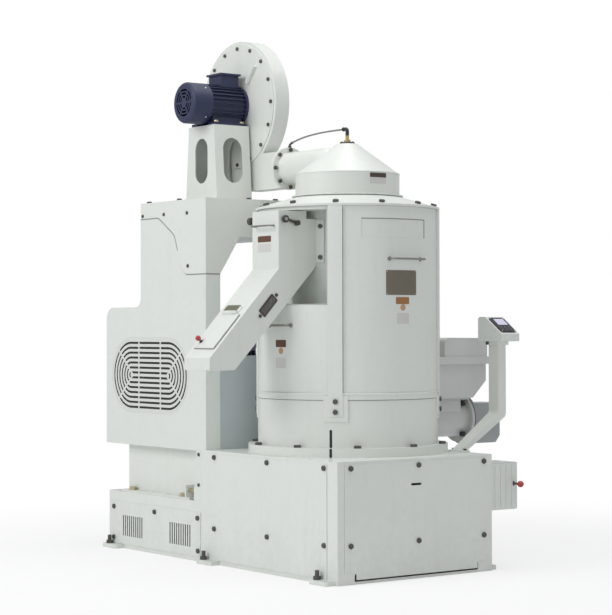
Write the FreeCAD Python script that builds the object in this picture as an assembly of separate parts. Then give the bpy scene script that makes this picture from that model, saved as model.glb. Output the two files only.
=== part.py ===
# Vertical rice whitening machine: a milling tower on a steel base, with its motor, air fan, feeder and chute.
# Millimetres. The origin is where the spindle axis meets the floor. +X runs to the right along the front,
# +Y to the rear and +Z up.
import FreeCAD, Part
import math
import os

V = FreeCAD.Vector

# Sheet metal and clearances
sheet = 3.0                 # covers, doors, chute and hoods
box_sheet = 5.0             # welded boxes
fit_gap = 0.3               # between parts that only pass one another
bearing_gap = 0.05          # shaft in its bearing, on the radius
seam = 1.5                  # open seam between neighbouring covers

# Main base under the tower
base_width = 886.0
base_depth = 735.0
base_height = 442.0
base_wall = 6.0
base_top = 12.0
axis_from_left = 419.0      # spindle axis from the left side of the base
axis_from_front = 406.0     # spindle axis from the front of the base
post_strip = 54.0           # base corner left bare beside the front panel
panel_margin = 24.0         # base edge left bare above a panel
panel_lap = 20.0            # how far a panel overlaps its opening

# Foot lugs and anchors
lug_width = 110.0
lug_reach = 42.0
lug_height = 16.0
lug_inset = 70.0            # lug centre from the base corner
anchor_hole = 18.0          # diameter
anchor_offset = 26.0        # anchor hole and levelling bolt, each side of the lug centre

# Motor base to the left
motor_base_length = 716.0
motor_base_depth = 600.0
motor_base_height = 237.0
vent_width = 164.0
vent_height = 86.0
vent_slots = 10

# Plinth that slides to tighten the belts
plinth_length = 589.0
plinth_left_inset = 85.0
plinth_front_inset = 46.0
plinth_depth = 500.0
plinth_flange = 38.0
plinth_flange_sheet = 8.0

# Main motor, shaft down, on the plinth
motor_from_tower = 773.0    # distance between the two shafts along X
motor_behind_front = 297.0  # shaft behind the front face of the base
motor_radius = 150.0
motor_fin = 22.0
motor_fins = 26
motor_body_length = 380.0
motor_cowl_length = 130.0
motor_shaft_radius = 27.5
housing_height = 368.0
housing_right_inset = 24.0
housing_depth = 520.0

# Belt drive
belt_count = 5
belt_pitch = 19.0
belt_width = 12.0
belt_thickness = 9.0
groove_depth = 12.0
motor_pulley_radius = 110.0
tower_pulley_radius = 165.0
belt_top_below_deck = 42.0

# Front cover of the motor side, with its grille
cover_depth = 68.0
cover_width = 771.0
cover_step_height = 1009.0
cover_neck_width = 492.0
cover_corner = 50.0
grille_centre_x = -812.0
grille_centre_z = 728.0
grille_half_straight = 146.0
grille_rings = 7
grille_pitch = 20.5
grille_slot = 9.0
grille_bar = 9.0
grille_margin = 12.0
leg_width = 42.0

# Fan platform
platform_top = 1438.0
platform_height = 153.0
platform_back = 60.0
flange_left_drop = 65.0
flange_right_drop = 301.0
upright_width = 36.0

# Fan pedestal and fan
fan_x = -640.0
pedestal_height = 312.0
pedestal_foot = 232.0
pedestal_head = 188.0
pedestal_front = -262.0
pedestal_depth = 171.0
slot_width = 92.0
slot_height = 184.0
fan_motor_height = 90.0     # shaft above the pedestal
fan_motor_radius = 74.0
fan_motor_fin = 10.0
fan_motor_fins = 28
fan_motor_length = 186.0
fan_box_offset = 74.0        # terminal box, from the start of the body
fan_cowl_radius = 84.0
fan_cowl_length = 79.0
fan_shaft_radius = 12.0
fan_radius = 270.0
fan_depth = 66.0
fan_gap = 13.0              # pedestal to fan casing
fan_outlet_drop = 355.0     # shaft to the bottom of the outlet
fan_outlet_height = 149.0
fan_outlet_end = -334.0
fan_bolt_radius = 241.0
fan_bolts = 16
impeller_radius = 212.0
impeller_blades = 10

# Air pipe
pipe_radius = 64.0
pipe_mouth_x = -60.0
pipe_flange_radius = 85.0
pipe_flange = 8.0
pipe_bolt_radius = 75.0
pipe_bolts = 8

# Tower
tower_radius = 350.0
ring_radius = 388.0
ring_height = 34.0
lower_shell_height = 178.0
rim_height = 26.0
rim_proud = 3.0
cover_height = 698.0        # tower doors and covers
low_door_height = 328.0
post_angle = 45.0
post_width = 54.0
post_depth = 28.0
post_proud = 8.0
post_tail = 90.0            # how far a post strip runs down over the lower shell
shoe_width = 92.0
top_plate = 12.0
collar_radius = 203.0
shoulder_rise = 52.0
collar_height = 89.0
cone_height = 120.0
cone_top_radius = 41.0
bay_radius = 230.0          # back wall of the outlet bay
chamber_radius = 213.0      # outside of the screen and of the feed chamber
chamber_wall = 8.0
screen_columns = 16
screen_rows = 4

# Spindle and rollers
spindle_radius = 32.0
spindle_upper_radius = 45.0
spindle_bore = 22.0
roller_radius = 190.0
roller_inner = 62.0
roller_height = 118.0
roller_count = 5
roller_slot = 8.0
screw_hub = 118.0
screw_pitch = 190.0
flight = 8.0
bearing_outer = 55.0
housing_radius = 78.0

# Outlet box and chute
chute_half_width = 86.0
chute_front = -391.0
chute_top = 1364.0
chute_knee = 1144.0
chute_lip_y = -700.0
chute_lip_top = 812.0
chute_mouth_z = 767.0
chute_mouth_back = -590.0
chute_back_z = 1160.0
port_half_width = 66.0
port_bottom = 1195.0
port_top = 1320.0
lid_width = 130.0
lid_length = 171.0
lid_start = 236.0           # hinge line, down the slope from the knee
lid_sheet = 5.0
knob_radius = 10.5
gate_y = -369.0
gate_z = 1331.0
gate_length = 184.0
gate_rod = 6.0

# Feeder at the rear
feed_height = 113.0         # screw axis above the base
feed_radius = 74.0
feed_end = 571.0
feed_flange_radius = 98.0
feed_shaft = 16.0
hopper_half_width = 120.0
hopper_clear = 8.0          # hopper in front of the tower shell
hopper_back = 610.0
hopper_height = 135.0
hopper_flange = 30.0
intake_front = 394.0
intake_height = 74.0
gearmotor_half_width = 60.0
gearmotor_back = 738.0

# Control stand
stand_left = 275.0
stand_width = 55.0
stand_tube = 40.0
stand_foot = 285.0
stand_back = 527.0
stand_bend = 590.0
stand_top = 868.0
head_width = 136.0
head_depth = 95.0
head_height = 96.0
head_lip = 29.0

# Residue box at the rear right
residue_right = 445.0
residue_width = 115.0
residue_depth = 144.0
residue_bottom = 225.0
residue_height = 180.0

# Bran spigot at the back of the base
spigot_x = -190.0
spigot_z = 235.0
spigot_radius = 76.0
spigot_wall = 4.0
spigot_length = 70.0

# Worked out from the sizes above
base_left = -axis_from_left
base_right = base_left + base_width
base_front = -axis_from_front
base_back = base_front + base_depth
motor_base_left = base_left - motor_base_length
motor_base_back = base_front + motor_base_depth
plinth_left = motor_base_left + plinth_left_inset
plinth_right = plinth_left + plinth_length
plinth_front = base_front + plinth_front_inset
plinth_back = plinth_front + plinth_depth
motor_x = -motor_from_tower
motor_y = base_front + motor_behind_front
cover_back = base_front + cover_depth
cover_right = base_left + 31.0
cover_left = cover_right - cover_width
neck_left = cover_right - cover_neck_width
housing_right = base_left + housing_right_inset
housing_left = cover_left + 19.0
housing_back = cover_back + housing_depth
housing_top = base_height + housing_height
belt_top = base_height - belt_top_below_deck
belt_bottom = belt_top - belt_count * belt_pitch
platform_bottom = platform_top - platform_height
pedestal_top = platform_top + pedestal_height
pedestal_back = pedestal_front + pedestal_depth
fan_z = pedestal_top + fan_motor_height
fan_front = pedestal_back + fan_gap
fan_back = fan_front + fan_depth
fan_mid = (fan_front + fan_back) / 2
outlet_bottom = fan_z - fan_outlet_drop
outlet_top = outlet_bottom + fan_outlet_height
pipe_z = (outlet_bottom + outlet_top) / 2 + 4.0
ring_top = base_height + ring_height
rim_bottom = ring_top + lower_shell_height
cover_z = rim_bottom + rim_height
cover_top = cover_z + cover_height
top_plate_z = cover_top - top_plate
low_door_top = cover_z + low_door_height
collar_z = cover_top + shoulder_rise
cone_z = collar_z + collar_height
apex_z = cone_z + cone_height
post_half_angle = math.degrees(post_width / 2 / tower_radius)
shoe_half_angle = math.degrees(shoe_width / 2 / tower_radius)
post_outer = tower_radius + post_proud
chamber_inner = chamber_radius - chamber_wall
feed_z = base_height + feed_height
hopper_front = tower_radius + hopper_clear
hopper_z = feed_z + feed_radius + 12.0
hopper_top = hopper_z + hopper_height
intake_z = hopper_top + hopper_flange
intake_top = intake_z + intake_height
rollers_z = cover_z + 10.0
rollers_top = rollers_z + roller_count * roller_height + (roller_count - 1) * roller_slot


def place(u, v, axis, level):
    """Point (u, v) of a sketch that lies square to an axis, at a level along that axis."""
    if axis == "x":
        return V(level, u, v)
    if axis == "y":
        return V(u, level, v)
    return V(u, v, level)


def outline(corners, axis, level):
    """Closed wire through corners (u, v) or (u, v, radius), each rounded by its radius."""
    count = len(corners)
    starts = []
    ends = []
    middles = []
    for index in range(count):
        here = V(corners[index][0], corners[index][1], 0)
        before = V(corners[index - 1][0], corners[index - 1][1], 0)
        after = V(corners[(index + 1) % count][0], corners[(index + 1) % count][1], 0)
        radius = corners[index][2] if len(corners[index]) > 2 else 0.0
        if radius <= 0:
            starts.append(here)
            ends.append(here)
            middles.append(None)
            continue
        way_in = (before - here).normalize()
        way_out = (after - here).normalize()
        half = way_in.getAngle(way_out) / 2
        starts.append(here + way_in * (radius / math.tan(half)))
        ends.append(here + way_out * (radius / math.tan(half)))
        inward = (way_in + way_out).normalize()
        middles.append(here + inward * (radius / math.sin(half) - radius))
    edges = []
    for index in range(count):
        start = place(starts[index].x, starts[index].y, axis, level)
        end = place(ends[index].x, ends[index].y, axis, level)
        if middles[index]:
            middle = place(middles[index].x, middles[index].y, axis, level)
            edges.append(Part.Arc(start, middle, end).toShape())
        following = starts[(index + 1) % count]
        next_start = place(following.x, following.y, axis, level)
        if end.distanceToPoint(next_start) > 1e-6:
            edges.append(Part.LineSegment(end, next_start).toShape())
    return Part.Wire(edges)


def prism(corners, axis, low, high):
    """Solid with the given outline, from one level to another along an axis."""
    face = Part.Face(outline(corners, axis, low))
    return face.extrude(place(0, 0, axis, high - low))


def block(x0, x1, y0, y1, z0, z1):
    return Part.makeBox(x1 - x0, y1 - y0, z1 - z0, V(x0, y0, z0))


def rod(radius, low, high, axis="z", at=(0.0, 0.0)):
    """Cylinder along an axis, at (u, v) of the plane square to it."""
    return Part.makeCylinder(radius, high - low, place(at[0], at[1], axis, low), place(0, 0, axis, 1))


def pipe(outer, inner, low, high, axis="z", at=(0.0, 0.0)):
    return rod(outer, low, high, axis, at).cut(rod(inner, low - 1, high + 1, axis, at))


def sector(inner, outer, z0, z1, start, end):
    """Piece of a ring about the tower axis, between two angles in degrees."""
    solid = Part.makeCylinder(outer, z1 - z0, V(0, 0, z0), V(0, 0, 1), end - start)
    solid = solid.cut(rod(inner, z0 - 1, z1 + 1))
    solid.rotate(V(0, 0, 0), V(0, 0, 1), start)
    return solid


def turned(points):
    """Solid of revolution about Z from (radius, height) points."""
    face = Part.Face(outline(points, "y", 0.0))
    return face.revolve(V(0, 0, 0), V(0, 0, 1), 360)


def along_y(solid, x, y, z):
    """Turn a solid made about Z so that it lies along +Y, and move it to its place."""
    moved = solid.copy()
    moved.rotate(V(0, 0, 0), V(1, 0, 0), -90)
    moved.translate(V(x, y, z))
    return moved


def joined(solids):
    result = solids[0]
    for solid in solids[1:]:
        result = result.fuse(solid)
    return result.removeSplitter()


def turned_copies(solid, count, centre=V(0, 0, 0), axis=V(0, 0, 1), first=0.0):
    """Copies of a solid, evenly spaced about an axis."""
    copies = []
    for index in range(count):
        copy = solid.copy()
        copy.rotate(centre, axis, first + index * 360.0 / count)
        copies.append(copy)
    return copies


def hex_head(point, direction, across=24.0, height=10.0):
    """Bolt head that sits on a face at a point."""
    corner = across / math.sqrt(3)
    points = []
    for index in range(7):
        angle = math.radians(60 * index)
        points.append(V(corner * math.cos(angle), corner * math.sin(angle), 0))
    head = Part.Face(Part.makePolygon(points)).extrude(V(0, 0, height))
    head.Placement = FreeCAD.Placement(V(*point), FreeCAD.Rotation(V(0, 0, 1), V(*direction)))
    return head


def bent_run(corners, radius, bends):
    """Round bar through corners: straight runs and one ring piece per bend."""
    pieces = []
    last = corners[0]
    for index in range(1, len(corners) - 1):
        here = corners[index]
        way_in = (corners[index - 1] - here).normalize()
        way_out = (corners[index + 1] - here).normalize()
        half = way_in.getAngle(way_out) / 2
        bend = bends[index - 1]
        start = here + way_in * (bend / math.tan(half))
        centre = here + (way_in + way_out).normalize() * (bend / math.sin(half))
        run = start - last
        pieces.append(Part.makeCylinder(radius, run.Length, last, run))
        face = Part.Face(Part.Wire(Part.makeCircle(radius, start, way_in)))
        turn = 180.0 - math.degrees(2 * half)
        pieces.append(face.revolve(centre, way_out.cross(way_in), turn))
        last = here + way_out * (bend / math.tan(half))
    run = corners[-1] - last
    pieces.append(Part.makeCylinder(radius, run.Length, last, run))
    return pieces[0].multiFuse(pieces[1:]).Solids[0]


def bent_rod(points, radius, bend):
    """Round bar with each corner bent to one radius."""
    corners = [V(*point) for point in points]
    return bent_run(corners, radius, [bend] * (len(corners) - 2))


def helical_flight(inner, outer, pitch, turns, thickness):
    """Screw flight about Z, starting at height 0."""
    helix = Part.makeHelix(pitch, pitch * turns, outer)
    low = -thickness / 2
    high = thickness / 2
    corners = [V(inner, 0, low), V(outer, 0, low), V(outer, 0, high), V(inner, 0, high), V(inner, 0, low)]
    return Part.Wire(helix.Edges).makePipeShell([Part.makePolygon(corners)], True, True)


def anchor_lug(x, y, way):
    """Foot lug that reaches out of the base by its reach, with an open anchor hole."""
    outer = y + way * lug_reach
    corners = [(x - lug_width / 2, y), (x + lug_width / 2, y),
               (x + lug_width / 2, outer, 14.0), (x - lug_width / 2, outer, 14.0)]
    lug = prism(corners, "z", 0.0, lug_height)
    return lug.cut(rod(anchor_hole / 2, -1, lug_height + 1, "z", (x + anchor_offset, y + way * lug_reach / 2)))


def levelling_bolt(x, y, way):
    """Levelling bolt through a lug: nut on the lug and the stud above it."""
    centre = (x - anchor_offset, y + way * lug_reach / 2)
    stud = rod(8.0, lug_height, lug_height + 34.0, "z", centre)
    return stud.fuse(hex_head((centre[0], centre[1], lug_height), (0, 0, 1), 24.0, 13.0))


# Main base

front_opening = (base_left + post_strip + panel_lap, base_right - post_strip - 8.0 - panel_lap)
front_panel_x = (base_left + post_strip, base_right - post_strip - 8.0)
panel_top = base_height - panel_margin + 14.0
panel_bottom = 16.0
side_panel_y = (base_front + 30.0, base_back - 22.0)
side_tongue_y = (base_front + 83.0, base_back - 76.0)
tongue_bottom = 16.0
tongue_top = 42.0
belt_hole_half = tower_pulley_radius + 45.0
lug_rows = [(base_front, -1), (base_back, 1)]
lug_columns = [base_left + lug_inset, base_right - lug_inset]


def main_base():
    solid = block(base_left, base_right, base_front, base_back, 0, base_height)
    solid = solid.cut(block(base_left + base_wall, base_right - base_wall, base_front + base_wall,
                            base_back - base_wall, base_wall, base_height - base_top))
    solid = solid.cut(block(front_opening[0], front_opening[1], base_front - 1, base_front + base_wall + 1,
                            panel_bottom + panel_lap, panel_top - panel_lap))
    solid = solid.cut(block(base_right - base_wall - 1, base_right + 1, side_panel_y[0] + panel_lap,
                            side_panel_y[1] - panel_lap, tongue_top + panel_lap, panel_top - panel_lap))
    solid = solid.cut(block(base_right - base_wall - 1, base_right + 1, side_tongue_y[0] - 6.0,
                            side_tongue_y[1] + 6.0, tongue_bottom - 6.0, tongue_top - 6.0))
    solid = solid.cut(block(base_left - 1, base_left + base_wall + 1, -belt_hole_half, belt_hole_half,
                            belt_bottom - 20.0, belt_top + 20.0))
    solid = solid.cut(rod(housing_radius + fit_gap, base_height - base_top - 1, base_height + 1))
    solid = solid.cut(rod(spigot_radius - spigot_wall, base_back - base_wall - 1, base_back + 1, "y",
                          (spigot_x, spigot_z)))
    for y, way in lug_rows:
        for x in lug_columns:
            solid = solid.fuse(anchor_lug(x, y, way))
    return solid.removeSplitter()


def base_front_panel():
    return block(front_panel_x[0], front_panel_x[1], base_front - sheet, base_front, panel_bottom, panel_top)


def base_side_panel():
    corners = [(side_panel_y[0], tongue_top), (side_tongue_y[0], tongue_top), (side_tongue_y[0], tongue_bottom),
               (side_tongue_y[1], tongue_bottom), (side_tongue_y[1], tongue_top), (side_panel_y[1], tongue_top),
               (side_panel_y[1], panel_top), (side_panel_y[0], panel_top)]
    panel = prism(corners, "x", base_right, base_right + sheet)
    slot = block(base_right - 1, base_right + sheet + 1, -68.0, -20.0, 343.0, 351.0)
    return panel.cut(slot)


def base_panel_bolts():
    heads = []
    front_x = [front_panel_x[0] + 41.0, 34.0, front_panel_x[1] - 14.0]
    side_y = [side_panel_y[0] + 26.0, -34.0, side_panel_y[1] - 22.0]
    for z in (panel_top - 15.0, 139.0):
        for x in front_x:
            heads.append(hex_head((x, base_front - sheet, z), (0, -1, 0), 18.0, 7.0))
        for y in side_y:
            heads.append(hex_head((base_right + sheet, y, z), (1, 0, 0), 18.0, 7.0))
    return Part.makeCompound(heads)


def motor_base_anchors():
    return [(motor_base_left + 62.0, base_front, -1), (motor_base_left + 62.0, motor_base_back, 1)]


def levelling_bolts():
    bolts = []
    for y, way in lug_rows:
        for x in lug_columns:
            bolts.append(levelling_bolt(x, y, way))
    for x, y, way in motor_base_anchors():
        bolts.append(levelling_bolt(x, y, way))
    return Part.makeCompound(bolts)


def bran_spigot():
    spout = pipe(spigot_radius, spigot_radius - spigot_wall, base_back, base_back + spigot_length, "y",
                 (spigot_x, spigot_z))
    collar = pipe(spigot_radius + 22.0, spigot_radius - 1.0, base_back, base_back + 6.0, "y",
                  (spigot_x, spigot_z))
    return joined([spout, collar])


# Motor base and plinth

plinth_bolt_x = (plinth_left + 62.0, plinth_right - 136.0)
tension_x = plinth_right - 12.0
tension_y = plinth_front - plinth_flange / 2
tension_z = motor_base_height + 36.0
tension_radius = 7.0
vent_centres = (motor_base_left + 193.0, base_left - 157.0)
vent_z = 96.0
motor_panel_x = (motor_base_left + 12.0, base_left - 8.0)
motor_panel_z = (lug_height + 1.0, 196.0)


def motor_base():
    solid = block(motor_base_left, base_left, base_front, motor_base_back, 0, motor_base_height)
    solid = solid.cut(block(motor_base_left + box_sheet, base_left - box_sheet, base_front + box_sheet,
                            motor_base_back - box_sheet, box_sheet, motor_base_height - box_sheet))
    solid = solid.cut(block(motor_panel_x[0] + panel_lap, motor_panel_x[1] - panel_lap, base_front - 1,
                            base_front + box_sheet + 1, motor_panel_z[0] + panel_lap,
                            motor_panel_z[1] - panel_lap))
    for x, y, way in motor_base_anchors():
        solid = solid.fuse(anchor_lug(x, y, way))
    stop = block(tension_x - 20.0, tension_x, tension_y - 16.0, tension_y + 16.0, motor_base_height,
                 motor_base_height + 56.0)
    stop = stop.cut(rod(tension_radius, tension_x - 21.0, tension_x + 1, "x", (tension_y, tension_z)))
    return joined([solid, stop])


def motor_base_panel():
    panel = block(motor_panel_x[0], motor_panel_x[1], base_front - sheet, base_front, motor_panel_z[0],
                  motor_panel_z[1])
    pitch = vent_width / vent_slots
    for centre in vent_centres:
        for index in range(vent_slots):
            x = centre - vent_width / 2 + (index + 0.5) * pitch
            panel = panel.cut(block(x - pitch / 4, x + pitch / 4, base_front - sheet - 1, base_front + 1,
                                    vent_z - vent_height / 2, vent_z + vent_height / 2))
    return panel


def motor_panel_bolts():
    heads = []
    for z, xs in ((171.0, (motor_panel_x[0] + 33.0, -766.0, motor_panel_x[1] - 16.0)),
                  (42.0, (motor_panel_x[0] + 33.0, motor_panel_x[1] - 13.0))):
        for x in xs:
            heads.append(hex_head((x, base_front - sheet, z), (0, -1, 0), 18.0, 7.0))
    return Part.makeCompound(heads)


def motor_plinth():
    top = base_height
    solid = block(plinth_left, plinth_right, plinth_front, plinth_back, motor_base_height, top)
    solid = solid.cut(block(plinth_left + box_sheet, plinth_right - box_sheet, plinth_front + box_sheet,
                            plinth_back - box_sheet, motor_base_height - 1, top - base_top))
    solid = solid.cut(block(plinth_right - box_sheet - 1, plinth_right + 1, -belt_hole_half - 20.0,
                            belt_hole_half, belt_bottom - 20.0, belt_top + 12.0))
    solid = solid.cut(rod(motor_shaft_radius + 14.0, top - base_top - 1, top + 1, "z", (motor_x, motor_y)))
    for y0, y1 in ((plinth_front - plinth_flange, plinth_front), (plinth_back, plinth_back + plinth_flange)):
        foot = block(plinth_left, tension_x - 50.0, y0, y1, motor_base_height,
                     motor_base_height + plinth_flange_sheet)
        for x in plinth_bolt_x:
            slot = block(x - 22.0, x + 22.0, (y0 + y1) / 2 - 7.0, (y0 + y1) / 2 + 7.0, motor_base_height - 1,
                         motor_base_height + plinth_flange_sheet + 1)
            foot = foot.cut(slot)
        solid = solid.fuse(foot)
    lug = block(tension_x - 84.0, tension_x - 74.0, plinth_front - plinth_flange, plinth_front,
                motor_base_height, motor_base_height + 56.0)
    lug = lug.cut(rod(tension_radius + fit_gap, tension_x - 90.0, tension_x - 60.0, "x", (tension_y, tension_z)))
    return joined([solid, lug])


def plinth_bolts():
    heads = []
    z = motor_base_height + plinth_flange_sheet
    for y in (plinth_front - plinth_flange / 2, plinth_back + plinth_flange / 2):
        for x in plinth_bolt_x:
            washer = rod(17.0, z, z + 3.0, "z", (x, y))
            shank = rod(6.0, motor_base_height, z, "z", (x, y))
            heads.append(joined([washer, shank, hex_head((x, y, z + 3.0), (0, 0, 1), 24.0, 11.0)]))
    return Part.makeCompound(heads)


def tension_screw():
    """Horizontal screw that shifts the plinth, held in a block on the motor base."""
    screw = rod(tension_radius, tension_x - 84.0, tension_x, "x", (tension_y, tension_z))
    head = hex_head((tension_x - 84.0, tension_y, tension_z), (-1, 0, 0), 22.0, 12.0)
    nut = hex_head((tension_x - 20.0, tension_y, tension_z), (-1, 0, 0), 22.0, 12.0)
    return joined([screw, head, nut])


# Main motor

def finned_body(radius, fin, fins, length, fin_thickness):
    """Ribbed motor frame about Z, from height 0 up."""
    core = rod(radius, 0, length)
    rib = block(radius - 2.0, radius + fin, -fin_thickness / 2, fin_thickness / 2, 12.0, length - 12.0)
    solids = [core] + turned_copies(rib, fins)
    solids.append(pipe(radius + fin, radius - 1.0, 0, 12.0))
    solids.append(pipe(radius + fin, radius - 1.0, length - 12.0, length))
    return solids[0].multiFuse(solids[1:])


def main_motor_frame():
    flange = pipe(motor_radius + 40.0, motor_shaft_radius + bearing_gap, 0, 18.0)
    body = finned_body(motor_radius, motor_fin, motor_fins, motor_body_length, 5.0)
    body.translate(V(0, 0, 18.0))
    body = body.cut(rod(motor_shaft_radius + bearing_gap, -1, 120.0))
    solid = joined([flange, body])
    solid.translate(V(motor_x, motor_y, base_height))
    return solid


motor_cowl_z = base_height + 18.0 + motor_body_length


def main_motor_cowl():
    outer = motor_radius + motor_fin + 4.0
    cowl = turned([(0, 0), (outer, 0), (outer, motor_cowl_length, 20.0), (0, motor_cowl_length)])
    cowl = cowl.cut(turned([(0, 14.0), (outer - sheet, 14.0), (outer - sheet, motor_cowl_length - sheet, 17.0),
                            (0, motor_cowl_length - sheet)]))
    for radius in (45.0, 75.0, 105.0, 135.0):
        ring = pipe(radius + 6.0, radius - 6.0, motor_cowl_length - 10.0, motor_cowl_length + 1)
        for angle in (0, 90):
            bar = block(-200.0, 200.0, -6.0, 6.0, motor_cowl_length - 11.0, motor_cowl_length + 2)
            bar.rotate(V(0, 0, 0), V(0, 0, 1), angle)
            ring = ring.cut(bar)
        cowl = cowl.cut(ring)
    cowl.translate(V(motor_x, motor_y, motor_cowl_z))
    return cowl


def main_motor_terminal_box():
    y = motor_y + motor_radius + motor_fin
    z = base_height + 130.0
    neck = block(motor_x - 50.0, motor_x + 50.0, y - motor_fin - 8.0, y + 2.0, z + 20.0, z + 130.0)
    neck = neck.cut(rod(motor_radius + motor_fin + fit_gap, z, z + 200.0, "z", (motor_x, motor_y)))
    case = block(motor_x - 70.0, motor_x + 70.0, y + 2.0, y + 62.0, z, z + 150.0)
    lid = block(motor_x - 75.0, motor_x + 75.0, y + 62.0, y + 74.0, z - 5.0, z + 155.0)
    return joined([case, lid, neck])


def motor_housing():
    solid = block(housing_left, housing_right, cover_back, housing_back, base_height, housing_top)
    solid = solid.cut(block(housing_left + sheet, housing_right - sheet, cover_back + sheet, housing_back - sheet,
                            base_height - 1, housing_top - sheet))
    window = prism([(grille_centre_x - 260.0, base_height + 130.0), (grille_centre_x + 260.0, base_height + 130.0),
                    (grille_centre_x + 260.0, housing_top - 25.0), (grille_centre_x - 260.0, housing_top - 25.0)],
                   "y", cover_back - 1, cover_back + sheet + 1)
    solid = solid.cut(window)
    return solid.cut(rod(motor_radius + motor_fin + 12.0, housing_top - sheet - 1, housing_top + 1, "z",
                         (motor_x, motor_y)))


# Belt drive

def pulley(radius, bore):
    """Grooved belt pulley about Z, from height 0 up."""
    height = belt_count * belt_pitch + 10.0
    points = [(bore, 0), (radius, 0)]
    for index in range(belt_count):
        z = 5.0 + index * belt_pitch
        points += [(radius, z + 1.5), (radius - groove_depth, z + 3.2), (radius - groove_depth, z + belt_pitch - 3.2),
                   (radius, z + belt_pitch - 1.5)]
    points += [(radius, height), (bore, height)]
    return turned(points)


def tower_pulley():
    solid = pulley(tower_pulley_radius, spindle_radius)
    rim = tower_pulley_radius - groove_depth - 12.0
    height = belt_count * belt_pitch + 10.0
    solid = solid.cut(pipe(rim, spindle_radius + 26.0, -1, 40.0))
    solid = solid.cut(pipe(rim, spindle_radius + 26.0, height - 40.0, height + 1))
    solid.translate(V(0, 0, belt_bottom - 5.0))
    return solid


def motor_pulley():
    solid = pulley(motor_pulley_radius, motor_shaft_radius)
    solid.translate(V(motor_x, motor_y, belt_bottom - 5.0))
    return solid


def motor_shaft():
    return rod(motor_shaft_radius, belt_bottom - 12.0, base_height + 115.0, "z", (motor_x, motor_y))


def belt_loop(radius_a, radius_b, low, high):
    """Solid inside an open belt that runs round circles at the motor and at the spindle."""
    centre = V(motor_x, motor_y, 0)
    span = centre.Length
    way = V(centre.x, centre.y, 0).normalize()
    lean = math.acos((radius_b - radius_a) / span)
    heading = math.atan2(way.y, way.x)
    points = []
    for side in (1, -1):
        angle = heading + side * lean
        normal = V(math.cos(angle), math.sin(angle), 0)
        points.append((normal * radius_b, centre + normal * radius_a))
    far = centre + way * radius_a
    near = way * -radius_b
    edges = [Part.LineSegment(points[0][0], points[0][1]).toShape(),
             Part.Arc(points[0][1], far, points[1][1]).toShape(),
             Part.LineSegment(points[1][1], points[1][0]).toShape(),
             Part.Arc(points[1][0], near, points[0][0]).toShape()]
    face = Part.Face(Part.Wire(edges))
    face.translate(V(0, 0, low))
    return face.extrude(V(0, 0, high - low))


def drive_belts():
    belts = []
    inner_a = motor_pulley_radius - groove_depth + fit_gap
    inner_b = tower_pulley_radius - groove_depth + fit_gap
    for index in range(belt_count):
        middle = belt_bottom + (index + 0.5) * belt_pitch
        low = middle - belt_width / 2
        high = middle + belt_width / 2
        outer = belt_loop(inner_a + belt_thickness, inner_b + belt_thickness, low, high)
        belts.append(outer.cut(belt_loop(inner_a, inner_b, low - 1, high + 1)))
    return Part.makeCompound(belts)


# Front cover with grille

seam_corner_x = cover_right - 352.0
seam_low_x = cover_right - 172.0
seam_left_z = platform_top - flange_left_drop
seam_right_z = platform_top - flange_right_drop


def seam_line(gap):
    """Corners of the curved seam under the platform flange, from right to left."""
    rise = seam_left_z - seam_right_z
    return [(seam_low_x, seam_right_z - gap, 60.0), (seam_low_x - rise * 0.25, seam_left_z - rise * 0.32, 60.0),
            (seam_corner_x, seam_left_z - gap, 60.0)]


def cover_outline(inset):
    deck = base_height + inset
    return [(cover_left + inset, base_height - 5.0 + inset), (cover_left + inset, cover_step_height - inset, cover_corner),
            (neck_left + inset, cover_step_height - inset, cover_corner * 0.8), (neck_left + inset, seam_left_z - seam - inset)]\
        + list(reversed(seam_line(seam + inset))) +\
        [(cover_right - inset, seam_right_z - seam - inset), (cover_right - inset, deck), (base_left - inset, deck),
         (base_left - inset, motor_base_height + inset), (base_left - leg_width + inset, motor_base_height + inset),
         (base_left - leg_width + inset, base_height - 5.0 + inset)]


def stadium(half_straight, radius, low, high):
    """Rounded slot form, square to Y, centred on the grille."""
    solid = block(grille_centre_x - half_straight, grille_centre_x + half_straight, low, high,
                  grille_centre_z - radius, grille_centre_z + radius)
    for x in (grille_centre_x - half_straight, grille_centre_x + half_straight):
        solid = solid.fuse(rod(radius, low, high, "y", (x, grille_centre_z)))
    return solid.removeSplitter()


grille_radius = grille_pitch * grille_rings + grille_margin


def motor_cover():
    solid = prism(cover_outline(0.0), "y", base_front, cover_back)
    solid = solid.cut(prism(cover_outline(sheet), "y", base_front + sheet, cover_back + 1))
    solid = solid.cut(stadium(grille_half_straight, grille_radius, base_front - 1, base_front + sheet + 1))
    solid = solid.cut(block(plinth_left, plinth_right, plinth_front, cover_back + 1, motor_base_height, base_height))
    return solid.cut(column_uprights()).cut(fan_platform())


def motor_grille():
    low = base_front
    high = base_front + sheet
    solid = stadium(grille_half_straight, grille_radius, low, high)
    for index in range(grille_rings):
        middle = (index + 0.5) * grille_pitch
        ring = stadium(grille_half_straight, middle + grille_slot / 2, low - 1, high + 1)
        ring = ring.cut(stadium(grille_half_straight, middle - grille_slot / 2, low - 2, high + 2))
        for x in (-84.0, 84.0):
            ring = ring.cut(block(grille_centre_x + x - grille_bar / 2, grille_centre_x + x + grille_bar / 2,
                                  low - 2, high + 2, grille_centre_z - grille_radius, grille_centre_z + grille_radius))
        for side in (-1, 1):
            for rise in (-1, 1):
                bar = block(0, grille_radius * 2, low - 2, high + 2, -grille_bar / 2, grille_bar / 2)
                bar.rotate(V(0, 0, 0), V(0, 1, 0), -rise * 42.0 if side > 0 else 180 + rise * 42.0)
                bar.translate(V(grille_centre_x + side * (grille_half_straight - 14.0), 0, grille_centre_z))
                ring = ring.cut(bar)
        solid = solid.cut(ring)
    return solid


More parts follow.
